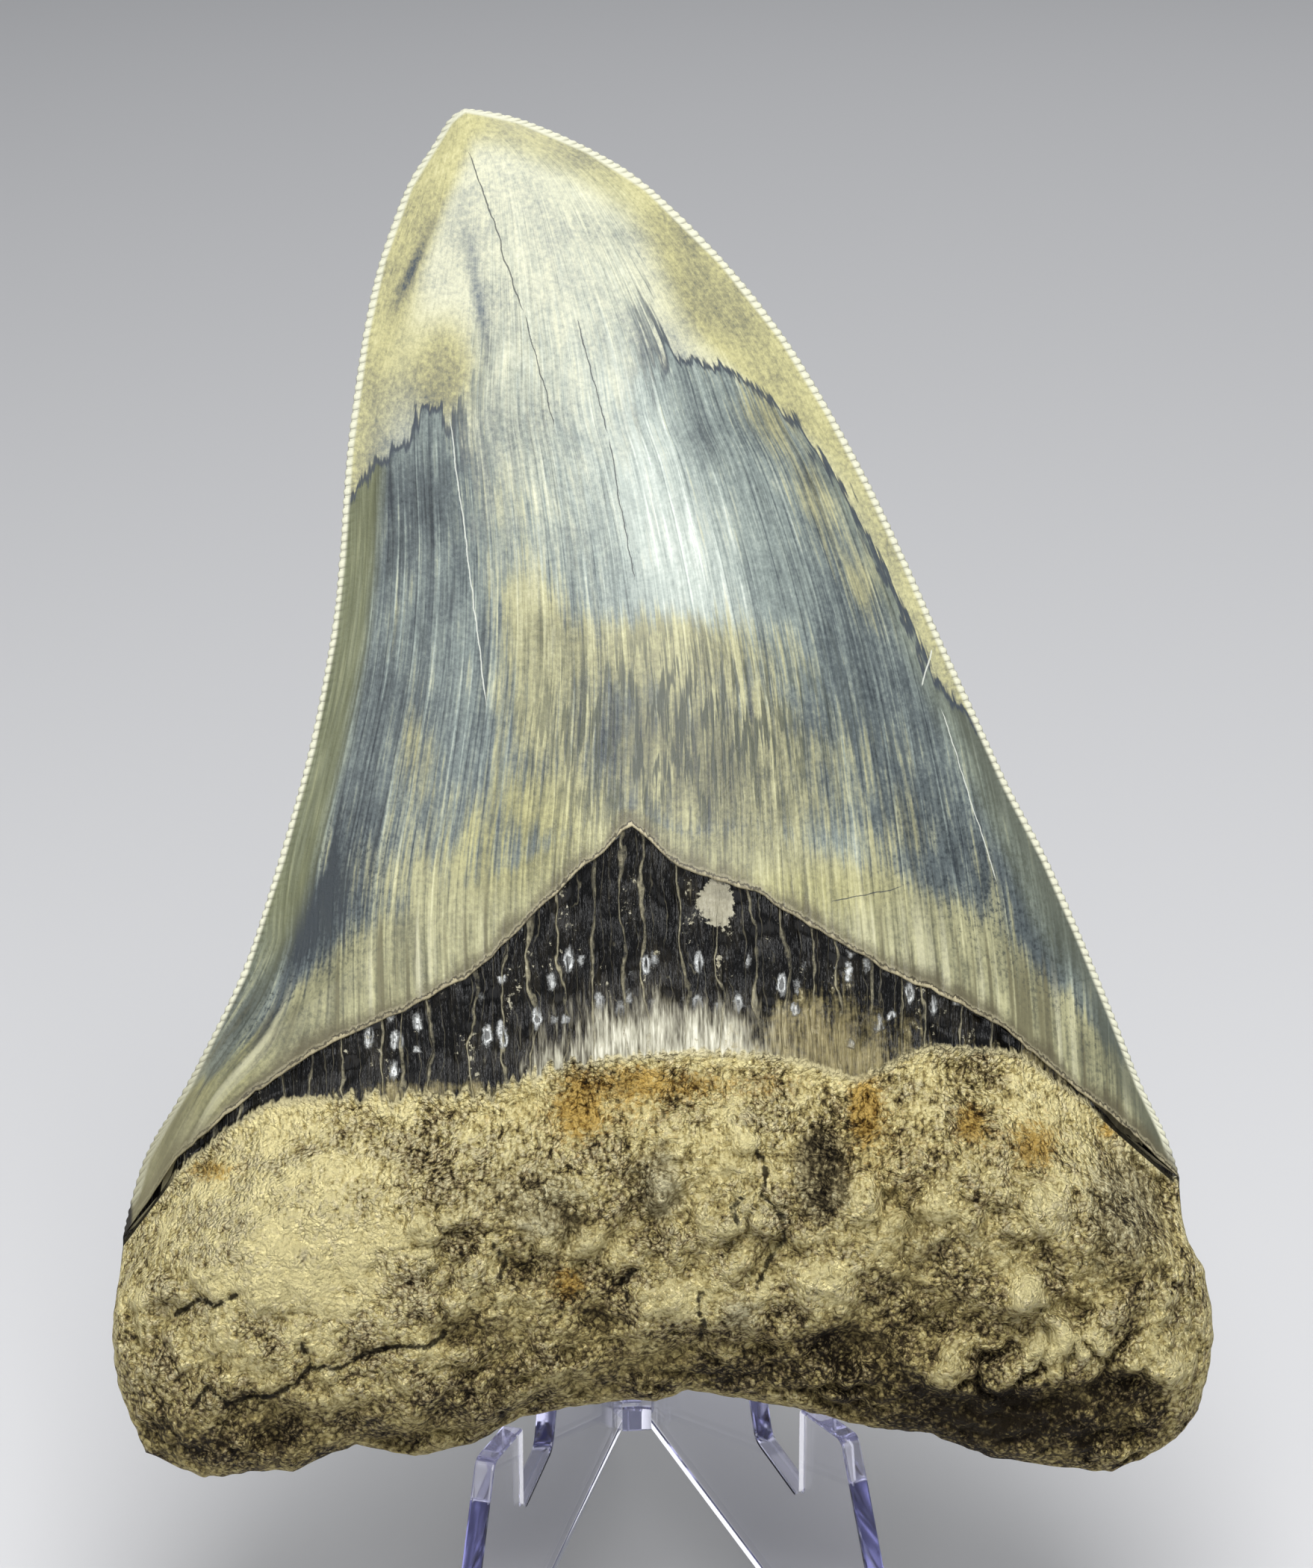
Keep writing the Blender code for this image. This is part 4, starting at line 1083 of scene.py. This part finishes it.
def root_body():
    body = bmesh.new()
    crown_end = CrownRow(1)
    rows = TUCKED_ROWS + BAND_ROWS + ROOT_ROWS
    names = "band crack stain grey bright dirt front gap proud"
    layers = {name: body.verts.layers.float.new(name) for name in names.split()}
    sides = [
        [along(side, step) - Vector(side[0]).lerp(Vector(side[-1]), step) for side in LOBE_SIDES]
        for step in (row / ROOT_ROWS for row in range(ROOT_ROWS + 1))
    ]
    for front in (True, False):
        enamel, root_top = ENAMEL_EDGES[front], ROOT_TOP if front else BACK_ROOT_TOP
        sign = 1 if front else -1
        for vert, column, row in sheet_places(body, ROOT_COLUMNS, rows):
            share = column_share(column, ROOT_COLUMNS)
            edge = column in (0, ROOT_COLUMNS)
            surface = 0 if edge else crown_end.depth(share, front)
            corner = smoothstep(share, *RIGHT_GAP_STARTS) * (1 - smoothstep(share, *RIGHT_GAP_ENDS))
            corner += LEFT_GAP * (1 - smoothstep(share, *LEFT_GAP_ENDS))
            recess = 0 if edge else min(BAND_RECESS, 0.6 * abs(surface))
            crack, proud = NO_CRACK, 0
            if row <= TUCKED_ROWS:
                up = TUCKED_UP * (1 - row / TUCKED_ROWS)
                up *= smoothstep(min(share, 1 - share), 0, 0.05)
                spot = at_share(enamel, share) + Vector((0, up))
                depth = surface - sign * (recess + 0.05 * up)
                if row == 0:
                    other = at_share(ENAMEL_EDGES[not front], share)
                    spot = at_share(enamel, share).lerp(other, 0.5)
                    depth = 0 if edge else CORE_DEPTH * crown_end.depth(share, True)
                band = TUCKED_BAND
            elif row <= TUCKED_ROWS + BAND_ROWS:
                step = (row - TUCKED_ROWS) / BAND_ROWS
                top, bottom = at_share(enamel, share), at_share(root_top, share)
                spot = top.lerp(bottom, step ** BAND_EASE)
                fade = 1 - smoothstep(step, 0.55, 1)
                depth = surface - sign * recess * fade
                if front and not edge:
                    upright = noise.noise((streak_across(spot) * 0.75, spot.y * 0.05, 2))
                    dimple = noise.noise((spot.x * 0.8, spot.y * 0.36, 6))
                    lively = smoothstep(step, 0, 0.15) * (1 - smoothstep(step, 0.7, 1))
                    lively *= min(abs(surface) / 3, 1)
                    dimple = BAND_DIMPLES * max(dimple - DIMPLE_START, 0)
                    depth += lively * (BAND_UPRIGHTS * upright - dimple)
                    gap = CORNER_GAP * min(abs(surface), 1) * corner
                    depth -= gap * (1 - smoothstep(step, 0.6, 1))
                band = spot.y - bottom.y
            else:
                root_row = row - TUCKED_ROWS - BAND_ROWS
                step = root_row / ROOT_ROWS
                top, bottom = at_share(root_top, share), at_share(ROOT_BOTTOM, share)
                spot = top.lerp(bottom, step)
                for shift, weight in zip(sides[root_row], (1 - share, share)):
                    spot += shift * weight ** LOBE_SIDE_REACH
                depth = root_depth(share, step, front, surface)
                if not edge and step < 1:
                    fade = smoothstep(min(step, 1 - step) / RELIEF_FADE_DOWN)
                    fade *= smoothstep(min(share, 1 - share) / RELIEF_FADE_ACROSS)
                    near = smoothstep(min(step, 1 - step) / SMALL_FADE_DOWN)
                    near *= smoothstep(min(share, 1 - share) / SMALL_FADE_ACROSS)
                    main = root_relief(spot, depth)
                    small = fine_relief(spot, depth, front)
                    proud = within(small, *PROUD_RANGE) * near
                    if front:
                        crack = min(nearest_on(line, spot)[0] for line in CRACKS)
                        crack += 0.16 * noise.noise(spot.to_3d() * 1.7)
                        small -= CRACK_DEPTH * math.exp(-((crack / CRACK_WIDTH) ** 2))
                        depth += main * fade + small * near
                    else:
                        depth -= BACK_RELIEF * main * fade + small * near
                seat = spot.to_3d() * 0.9
                shift = Vector((noise.noise(seat), noise.noise(seat + Vector((0, 0, 5)))))
                spot += shift * (smoothstep(step, 0.02, 0.25) * ROOT_UNEVEN)
                spot.x = within(spot.x, *ROOT_SIDES)
                band = -step * (top - bottom).length
            vert.co = in_place(spot, depth)
            values = {
                "band": band, "crack": crack, "stain": blotched(spot, STAINS),
                "grey": blotched(spot, GREY_PATCHES), "bright": blotched(spot, BRIGHT_AND_LIT_PATCHES),
                "dirt": blotched(spot, DIRT_AND_SHADE_PATCHES), "front": 1 if front else 0,
                "gap": corner if row <= TUCKED_ROWS + BAND_ROWS else 0, "proud": proud,
            }
            for name, value in values.items():
                vert[layers[name]] = value
    fan = body.loops.layers.uv.new("streak_fan")
    for face in body.faces:
        for loop in face.loops:
            spot = (loop.vert.co.x / MM, loop.vert.co.z / MM)
            loop[fan].uv = (streak_across(spot) / FAN_WIDTH, spot[1] / FAN_WIDTH)
    return welded(body)


TO_EDGE = "DISTANCE_TO_EDGE"


def root_material():
    material, tree, shader = new_material("porous_root_and_dark_dentine")
    place = tooth_place(tree)
    across, layer, streaks = fan_of_streaks(tree)
    band = attribute(tree, "band")

    # porous bone: grain drawn out upright near the band, even lower down, in a net of seams
    fibre = streaks(0.34, 1.1, 3, layer)
    grain = noises(place, 1.7, 5, Roughness=0.72) * 5 - 2.5
    mottle = noises(place, 0.24, 6, Roughness=0.6) * 5 - 2.5
    porous = mixed_value(ramp(band, -14, -3), grain, fibre * 0.6 + grain * 0.6)
    bend = noises(place, 2.5, 2, "Color")
    grit_place = vectors("MULTIPLY_ADD", bend, (0.35, 0.35, 0.35), place)
    grit = node(tree, "TexVoronoi", {"Vector": grit_place, "Scale": 2.7})
    granules = (0.45 - Value(grit, "Distance")) * (ramp(mottle, 0.6, -0.7) * 0.8 + 0.6)
    pale_granule, pink_granule = split(Value(grit, "Color"), "SeparateColor")[1:]
    bend = noises(place, 0.7, 3, "Color")
    bent = vectors("MULTIPLY_ADD", bend, (1.3, 1.3, 1.3), place)
    seams, fine_seams = (
        result(tree, "TexVoronoi", {"Vector": bent, "Scale": scale}, "Distance", feature=TO_EDGE)
        for scale in (0.62, 1.5)
    )
    seam = ramp(seams, 0.08, 0) * ramp(grain * 0.5 - mottle * 0.6, -0.3, 0.7)
    fine_seam = ramp(fine_seams, 0.12, 0) * ramp(mottle, 0.6, -0.6)
    pores = ramp(grain + fibre * 0.35 + mottle * 0.3, -0.75, -1.35)
    # the bone is lighter on the bright patches and darker on the dark patches, partly painted light
    # and shade, and darker further down the root as painted shade
    tone = (
        porous * 0.15 + fibre * ramp(band, -20, -6) * 0.25 + mottle * 0.09
        + attribute(tree, "proud") * 0.17 + attribute(tree, "bright") * 0.34
        - attribute(tree, "dirt") * 0.3
        - ramp(band, -12, -30) * 0.12 - seam * 0.22 - pores * 0.24 + granules * 0.48
        + pale_granule * 0.32 - fine_seam * 0.12 + 0.715
    )
    tone = tone * 1.5 - 0.325
    tone = tone - (tone - 0.76).math("MAXIMUM", 0) * 0.4
    bone = colours(
        tone, (0.02, 0.024, 0.017, 0.008), (0.26, 0.092, 0.07, 0.03), (0.48, 0.255, 0.2, 0.082),
        (0.7, 0.5, 0.405, 0.162), (1, 0.87, 0.765, 0.39),
    )
    pinkish = colours(
        tone, (0.02, 0.02, 0.014, 0.009), (0.26, 0.09, 0.066, 0.037), (0.48, 0.262, 0.196, 0.106),
        (0.7, 0.51, 0.41, 0.235), (0.95, 0.82, 0.73, 0.47),
    )
    tint = pink_granule * 0.7 - mottle * 0.5 + fibre * 0.3
    bone = mixed(ramp(tint, 0.2, 0.9) * 0.65, bone, pinkish)
    greyed = attribute(tree, "grey") + mottle * 0.25 + grain * 0.15
    grey = colours(
        tone, (0.05, 0.01, 0.008, 0.005), (0.5, 0.098, 0.078, 0.042), (0.8, 0.32, 0.272, 0.148),
        (1, 0.67, 0.61, 0.38),
    )
    bone = mixed(ramp(greyed, 0.35, 0.85) * 0.85, bone, grey)
    stained = attribute(tree, "stain") + grain * 0.34 + fibre * 0.16 + pink_granule * 0.3 - 0.15
    rust = colours(
        tone, (0.1, 0.03, 0.014, 0.003), (0.5, 0.225, 0.118, 0.018), (0.9, 0.56, 0.35, 0.07),
    )
    bone = mixed(ramp(stained, 0.2, 0.85) * 0.85, bone, rust)
    crack = ramp(attribute(tree, "crack") + grain * 0.12, 0.31, 0.1)
    bone = mixed(crack * 0.92, bone, (0.012, 0.009, 0.006))

    # dark dentine band: near-black and glossy, with fine tan lines, a painted sheen low in its
    # middle and pale painted glints
    wander = streaks(1.5, 5, 3, 1.3)
    fine = streaks(0.22, 2.4, 3, 4)
    line_place = wander * 0.55 + across
    lines, thin_lines = (
        result(
            tree, "TexVoronoi", {"W": line_place, "Scale": scale}, "Distance",
            voronoi_dimensions="1D", feature=TO_EDGE,
        )
        for scale in (0.46, 1.15)
    )
    dark_tone = fine * 0.15 + wander * 0.13 + mottle * 0.08 + 0.12
    # painted highlight: the sheen lightens the band low in its middle
    sheen = blotch_mask(place, (1, -22.6), (19.5, 9)) + fine * 0.22 + wander * 0.1
    dark_tone = dark_tone + ramp(sheen, 0.05, 1.25) * 0.78
    dark = colours(
        dark_tone, (0.1, 0.002, 0.002, 0.002), (0.34, 0.014, 0.012, 0.008),
        (0.55, 0.13, 0.12, 0.086), (0.8, 0.42, 0.405, 0.31), (1, 0.72, 0.7, 0.57),
    )
    shown = ramp(grain * 0.35 + wander * 0.5, -0.6, 0.5)
    line = ramp(lines, 0.06, 0.014) * (shown * 0.95)
    dark = mixed(line, dark, (0.34, 0.31, 0.205))
    thin_line = ramp(thin_lines, 0.06, 0) * ramp(wander, 0.5, -0.5)
    dark = mixed(thin_line * 0.45, dark, (0.16, 0.145, 0.095))
    # painted glints: pale ringed spots that stand in for highlights on the band's gloss
    spot_place = result(tree, "Mapping", {"Vector": place, "Scale": (0.74, 0.3, 0.34)})
    spots = node(tree, "TexVoronoi", {"Vector": spot_place, "Scale": 1})
    rare = split(Value(spots, "Color"), "SeparateColor")[0]
    ragged = Value(spots, "Distance") + grain * 0.1 + fine * 0.05
    belt = ramp(band, 2.2, 4.4) * ramp(band, 11, 8)
    wear_and_glints = ramp(belt * 0.6 + rare, 0.88, 0.94) * ramp(ragged, 0.38, 0.22)
    wear_and_glints = wear_and_glints * (ramp(ragged, 0.19, 0.1) * -0.75 + 1) * ramp(sheen, 0.75, 0.3)
    wear_and_glints = wear_and_glints * ramp(fine, -0.9, 0.2)
    dark = mixed(wear_and_glints * 0.9, dark, (0.78, 0.8, 0.78))
    chip = blotch_mask(place, (4.9, -9.6), (2, 3)) + grain * 0.34 + wander * 0.3
    chip = ramp(chip, 0.28, 0.42) * attribute(tree, "front")
    chip_tone = colours(grain * 0.2 + 0.5, (0.1, 0.15, 0.135, 0.085), (0.9, 0.56, 0.53, 0.4))
    dark = mixed(chip * 0.9, dark, chip_tone)
    brown = (
        blotch_mask(place, (14, -21.6), (12, 7)) + blotch_mask(place, (-17, -25.6), (15, 2)) * 0.8
        + blotch_mask(place, (28, -25), (9, 5)) * 1.1 + grain * 0.26 + wander * 0.42 + fine * 0.25
    )
    brown_tone = colours(
        fine * 0.25 + grain * 0.12 + 0.5, (0.1, 0.068, 0.052, 0.024), (0.9, 0.425, 0.36, 0.17),
    )
    dark = mixed(ramp(brown, 0.35, 1.15) * 0.75, dark, brown_tone)

    # where the band meets the root: ragged upright fingers, then a thin pale rim
    fingers = streaks(0.8, 6, 2, 8)
    sideways = split(place)[0]
    left_side = ramp(sideways, 0, -10) * ramp(sideways, -31, -25)
    meeting = band + fibre * 0.35 + fingers * left_side * 1.1
    on_band = ramp(meeting, -0.1, 0.6)
    colour = mixed(on_band, bone, dark)
    rim = ramp(abs(meeting - 0.15), 0.5, 0.1)
    colour = mixed(rim * 0.65, colour, (0.56, 0.5, 0.29))
    # painted shade: near-black in the gaps under the lip at the corners
    gap = ramp(attribute(tree, "gap"), 0.15, 0.5)
    colour = mixed(gap * 0.96, colour, (0.005, 0.004, 0.003))
    bone_height = porous * 0.55 - pores * 0.8 - seam * 1.2 - fine_seam * 0.5 + granules * 1.7
    band_height = fine * 0.14 + wear_and_glints * 0.5 - line * 0.3
    height = mixed_value(on_band, bone_height, band_height)
    fill(shader, {
        "Base Color": colour,
        "Roughness": mixed_value(on_band, grain * 0.08 + 0.7, grain * 0.05 + 0.17),
        "Specular IOR Level": mixed_value(on_band, 0.15, 0.34),
        "Normal": result(tree, "Bump", {"Strength": 1, "Distance": 0.00046, "Height": height}),
        "IOR": 1.52,
    })
    return material


root = root_body()
root.transform(tooth_matrix)
finished("tooth_root", root, root_material(), "tooth")


# Stand: one clear moulding, 1.8 mm thick, of two notched front fins and a rear leg on a narrow
# post. The edges are slightly rounded from the mould and look violet where they are deep.
HUB = Vector((-2.75, 3.55, 0))
LEFT_FIN_ANGLE = math.radians(-19.2)
RIGHT_FIN_ANGLE = math.radians(30.4)
REAR_LEG_ANGLE = math.radians(185.6)
PLATE = 1.8
HUB_FACE_WIDTH = 2.6
HUB_FACE_REACH = 5
HUB_RADIUS = 3
HUB_PROUD = 0.4
HUB_STEPS = 24
PLATE_START = 2.3
ARCH_HEIGHT = 15
ARCH_START = 4
ARCH_SLOPE = 0.32
STAND_TOP = 50
BACKREST_SLOPE = 0.3
BEND = (22.9, 21.3)
NOTCH = (29.7, 18.8)
PRONG_TOPS = (26.5, 27.1)
PRONG_FRONT = 36.4
FRONT_FOOT = (39.5, 47)
REAR_FOOT = (30.5, 38)
REAR_SHOULDER = 7
ARC_STEPS = 8
MOULD_ROUND = 0.2
PLASTIC_COLOUR = (0.97, 0.97, 1, 1)
PLASTIC_DEPTH_COLOUR = (0.46, 0.46, 0.74, 1)
PLASTIC_DENSITY = 40
SHARP_ANGLE = math.radians(20)


def rounded(corners):
    """The outline through the corners (along, up, radius), each rounded by a short arc."""
    outline = []
    for index, (x, y, radius) in enumerate(corners):
        corner = Vector((x, y))
        if radius == 0:
            outline.append(corner)
            continue
        before = (Vector(corners[index - 1][:2]) - corner).normalized()
        after = (Vector(corners[(index + 1) % len(corners)][:2]) - corner).normalized()
        half = before.angle(after) / 2
        middle = corner + (before + after).normalized() * radius / math.sin(half)
        start = corner + before * radius / math.tan(half) - middle
        turn = start.angle_signed(corner + after * radius / math.tan(half) - middle)
        for step in range(ARC_STEPS + 1):
            bent = start.copy()
            bent.rotate(Matrix.Rotation(-turn * step / ARC_STEPS, 2))
            outline.append(middle + bent)
    return outline


def moulded(name, outline, thickness, matrix):
    """A flat outline given thickness and rounded edges as a curve, then made a closed mesh."""
    curve = bpy.data.curves.new(name, "CURVE")
    curve.dimensions = "2D"
    curve.fill_mode = "BOTH"
    curve.extrude = (thickness / 2 - MOULD_ROUND) * MM
    curve.bevel_depth = MOULD_ROUND * MM
    curve.offset = -MOULD_ROUND * MM
    curve.bevel_resolution = 1
    spline = curve.splines.new("POLY")
    spline.points.add(len(outline) - 1)
    for point, spot in zip(spline.points, outline):
        point.co = (spot.x * MM, spot.y * MM, 0, 1)
    spline.use_cyclic_u = True
    drawn = linked(name + "_outline", curve)
    bpy.context.view_layer.update()
    mesh = bpy.data.meshes.new_from_object(
        drawn.evaluated_get(bpy.context.evaluated_depsgraph_get())
    )
    bpy.data.objects.remove(drawn, do_unlink=True)
    bpy.data.curves.remove(curve)
    body = bmesh.new()
    body.from_mesh(mesh)
    body.transform(matrix)
    welded(body).to_mesh(mesh)
    body.free()
    return linked(name, mesh)


def plate(name, outline, angle):
    """An upright plate standing out from the hub at an angle from straight forward."""
    turn = Matrix.Rotation(angle - math.pi / 2, 4, "Z") @ Matrix.Rotation(math.pi / 2, 4, "X")
    return moulded(name, outline, PLATE, Matrix.Translation(HUB * MM) @ turn)


def hub_post(name, angle):
    """The post that the plates grow from: round behind, with a narrow flat face in front."""
    half_face = HUB_FACE_WIDTH / 2
    outline = [Vector((HUB_FACE_REACH, -half_face)), Vector((HUB_FACE_REACH, half_face))]
    for step in range(HUB_STEPS + 1):
        turn = math.radians(60) + math.radians(240) * step / HUB_STEPS
        outline.append(Vector((math.cos(turn), math.sin(turn))) * HUB_RADIUS)
    height = STAND_TOP - ARCH_HEIGHT + 2 * HUB_PROUD
    middle = Vector((0, 0, (STAND_TOP + ARCH_HEIGHT) / 2))
    turn = Matrix.Rotation(angle - math.pi / 2, 4, "Z")
    return moulded(name, outline, height, Matrix.Translation((HUB + middle) * MM) @ turn)


def plate_outline(foot, *front_edge):
    """A plate's outline: its root in the hub, the arch, the foot, then its own edge to the top."""
    arch_end = foot[0] - 2
    return rounded([
        (PLATE_START, ARCH_HEIGHT, 0),
        (ARCH_START, ARCH_HEIGHT, 0),
        (arch_end, ARCH_HEIGHT - ARCH_SLOPE * (arch_end - ARCH_START), 2),
        (foot[0], 0, 0.4),
        (foot[1], 0, 0.8),
        *front_edge,
        (PLATE_START, STAND_TOP, 0),
    ])


def front_fin_outline(prong_top):
    """The fin's prong, V-notch and sloping backrest."""
    top_reach = BEND[0] - BACKREST_SLOPE * (STAND_TOP - BEND[1])
    return plate_outline(
        FRONT_FOOT, (PRONG_FRONT, prong_top, 1.2), (NOTCH[0], prong_top, 0.4), (*NOTCH, 0.5),
        (*BEND, 1.5), (top_reach, STAND_TOP, 3),
    )


def clear_material():
    material, tree, shader = new_material("clear_moulded_plastic")
    place = result(tree, "TexCoord", output="Object")
    haze = noises(place, 300, 4)
    ripple = noises(place, 60, 1)
    fill(shader, {
        "Base Color": PLASTIC_COLOUR,
        "Transmission Weight": 1,
        "IOR": 1.49,
        "Roughness": haze * 0.06 + 0.01,
        "Normal": result(tree, "Bump", {"Strength": 0.12, "Distance": 0.0002, "Height": ripple}),
    })
    depth = {"Color": PLASTIC_DEPTH_COLOUR, "Density": PLASTIC_DENSITY}
    fill(tree.nodes["Material Output"], {"Volume": result(tree, "VolumeAbsorption", depth)})
    return material


def clear_stand():
    facing = (LEFT_FIN_ANGLE + RIGHT_FIN_ANGLE) / 2
    stand = hub_post("clear_stand", facing)
    joined = (
        plate("left_fin", front_fin_outline(PRONG_TOPS[0]), LEFT_FIN_ANGLE),
        plate("right_fin", front_fin_outline(PRONG_TOPS[1]), RIGHT_FIN_ANGLE),
        plate("rear_leg", plate_outline(REAR_FOOT, (REAR_SHOULDER, STAND_TOP, 3)), REAR_LEG_ANGLE),
    )
    for part in joined:
        union = stand.modifiers.new(part.name, "BOOLEAN")
        union.operation = "UNION"
        union.object = part
    bpy.context.view_layer.update()
    whole = bpy.data.meshes.new_from_object(
        stand.evaluated_get(bpy.context.evaluated_depsgraph_get())
    )
    for part in (stand, *joined):
        bpy.data.objects.remove(part, do_unlink=True)
    body = bmesh.new()
    body.from_mesh(whole)
    bmesh.ops.remove_doubles(body, verts=body.verts, dist=1e-6)
    bmesh.ops.triangulate(body, faces=body.faces)
    return body


stand = finished("clear_stand", clear_stand(), clear_material(), "stand")
stand.data.set_sharp_from_angle(angle=SHARP_ANGLE)


# Floor and soft studio light: a plain pale floor, softboxes over the camera, in front, at the
# left and behind, and a dim even surround.
FLOOR_COLOUR = (0.6, 0.6, 0.61, 1)
FLOOR_SIZE = 1.5
SURROUND_COLOUR = (0.8, 0.83, 0.88, 1)
SURROUND_STRENGTH = 0.3
LIGHT_TARGET = Vector((0, -0.01, 0.07))
# Softboxes: name, azimuth, elevation, distance, width, height, power.
SOFTBOXES = [
    ("softbox_key", 2, 62, 0.8, 0.5, 0.5, 7), ("softbox_front", 2.5, 35, 0.9, 0.46, 0.62, 3.4),
    ("softbox_left", -65, 30, 1, 0.5, 0.7, 1.2), ("softbox_back", 165, 38, 1.2, 0.8, 0.8, 2.6),
]

floor_mesh = bpy.data.meshes.new("floor")
floor_shape = bmesh.new()
bmesh.ops.create_grid(floor_shape, x_segments=1, y_segments=1, size=FLOOR_SIZE)
floor_shape.to_mesh(floor_mesh)
floor_shape.free()
floor = linked("floor", floor_mesh)
pale, _, pale_shader = new_material("pale_floor")
fill(pale_shader, {"Base Color": FLOOR_COLOUR, "Roughness": 0.6})
floor_mesh.materials.append(pale)


def softbox(name, azimuth, elevation, distance, width, height, power):
    light = bpy.data.lights.new(name, "AREA")
    light.shape = "RECTANGLE"
    light.size, light.size_y = width, height
    light.energy = power
    lamp = linked(name, light)
    turn, rise = math.radians(azimuth), math.radians(elevation)
    away = Vector(
        (math.sin(turn) * math.cos(rise), -math.cos(turn) * math.cos(rise), math.sin(rise))
    )
    lamp.location = LIGHT_TARGET + away * distance
    lamp.rotation_euler = away.to_track_quat("Z", "Y").to_euler()
    return lamp


lamps = [softbox(*values) for values in SOFTBOXES]
# The high key light would show as a hard white square in the glossy enamel.
lamps[0].visible_glossy = False
world = bpy.data.worlds.new("surround")
world.use_nodes = True
surround = {"Color": SURROUND_COLOUR, "Strength": SURROUND_STRENGTH}
fill(world.node_tree.nodes["Background"], surround)
bpy.context.scene.world = world
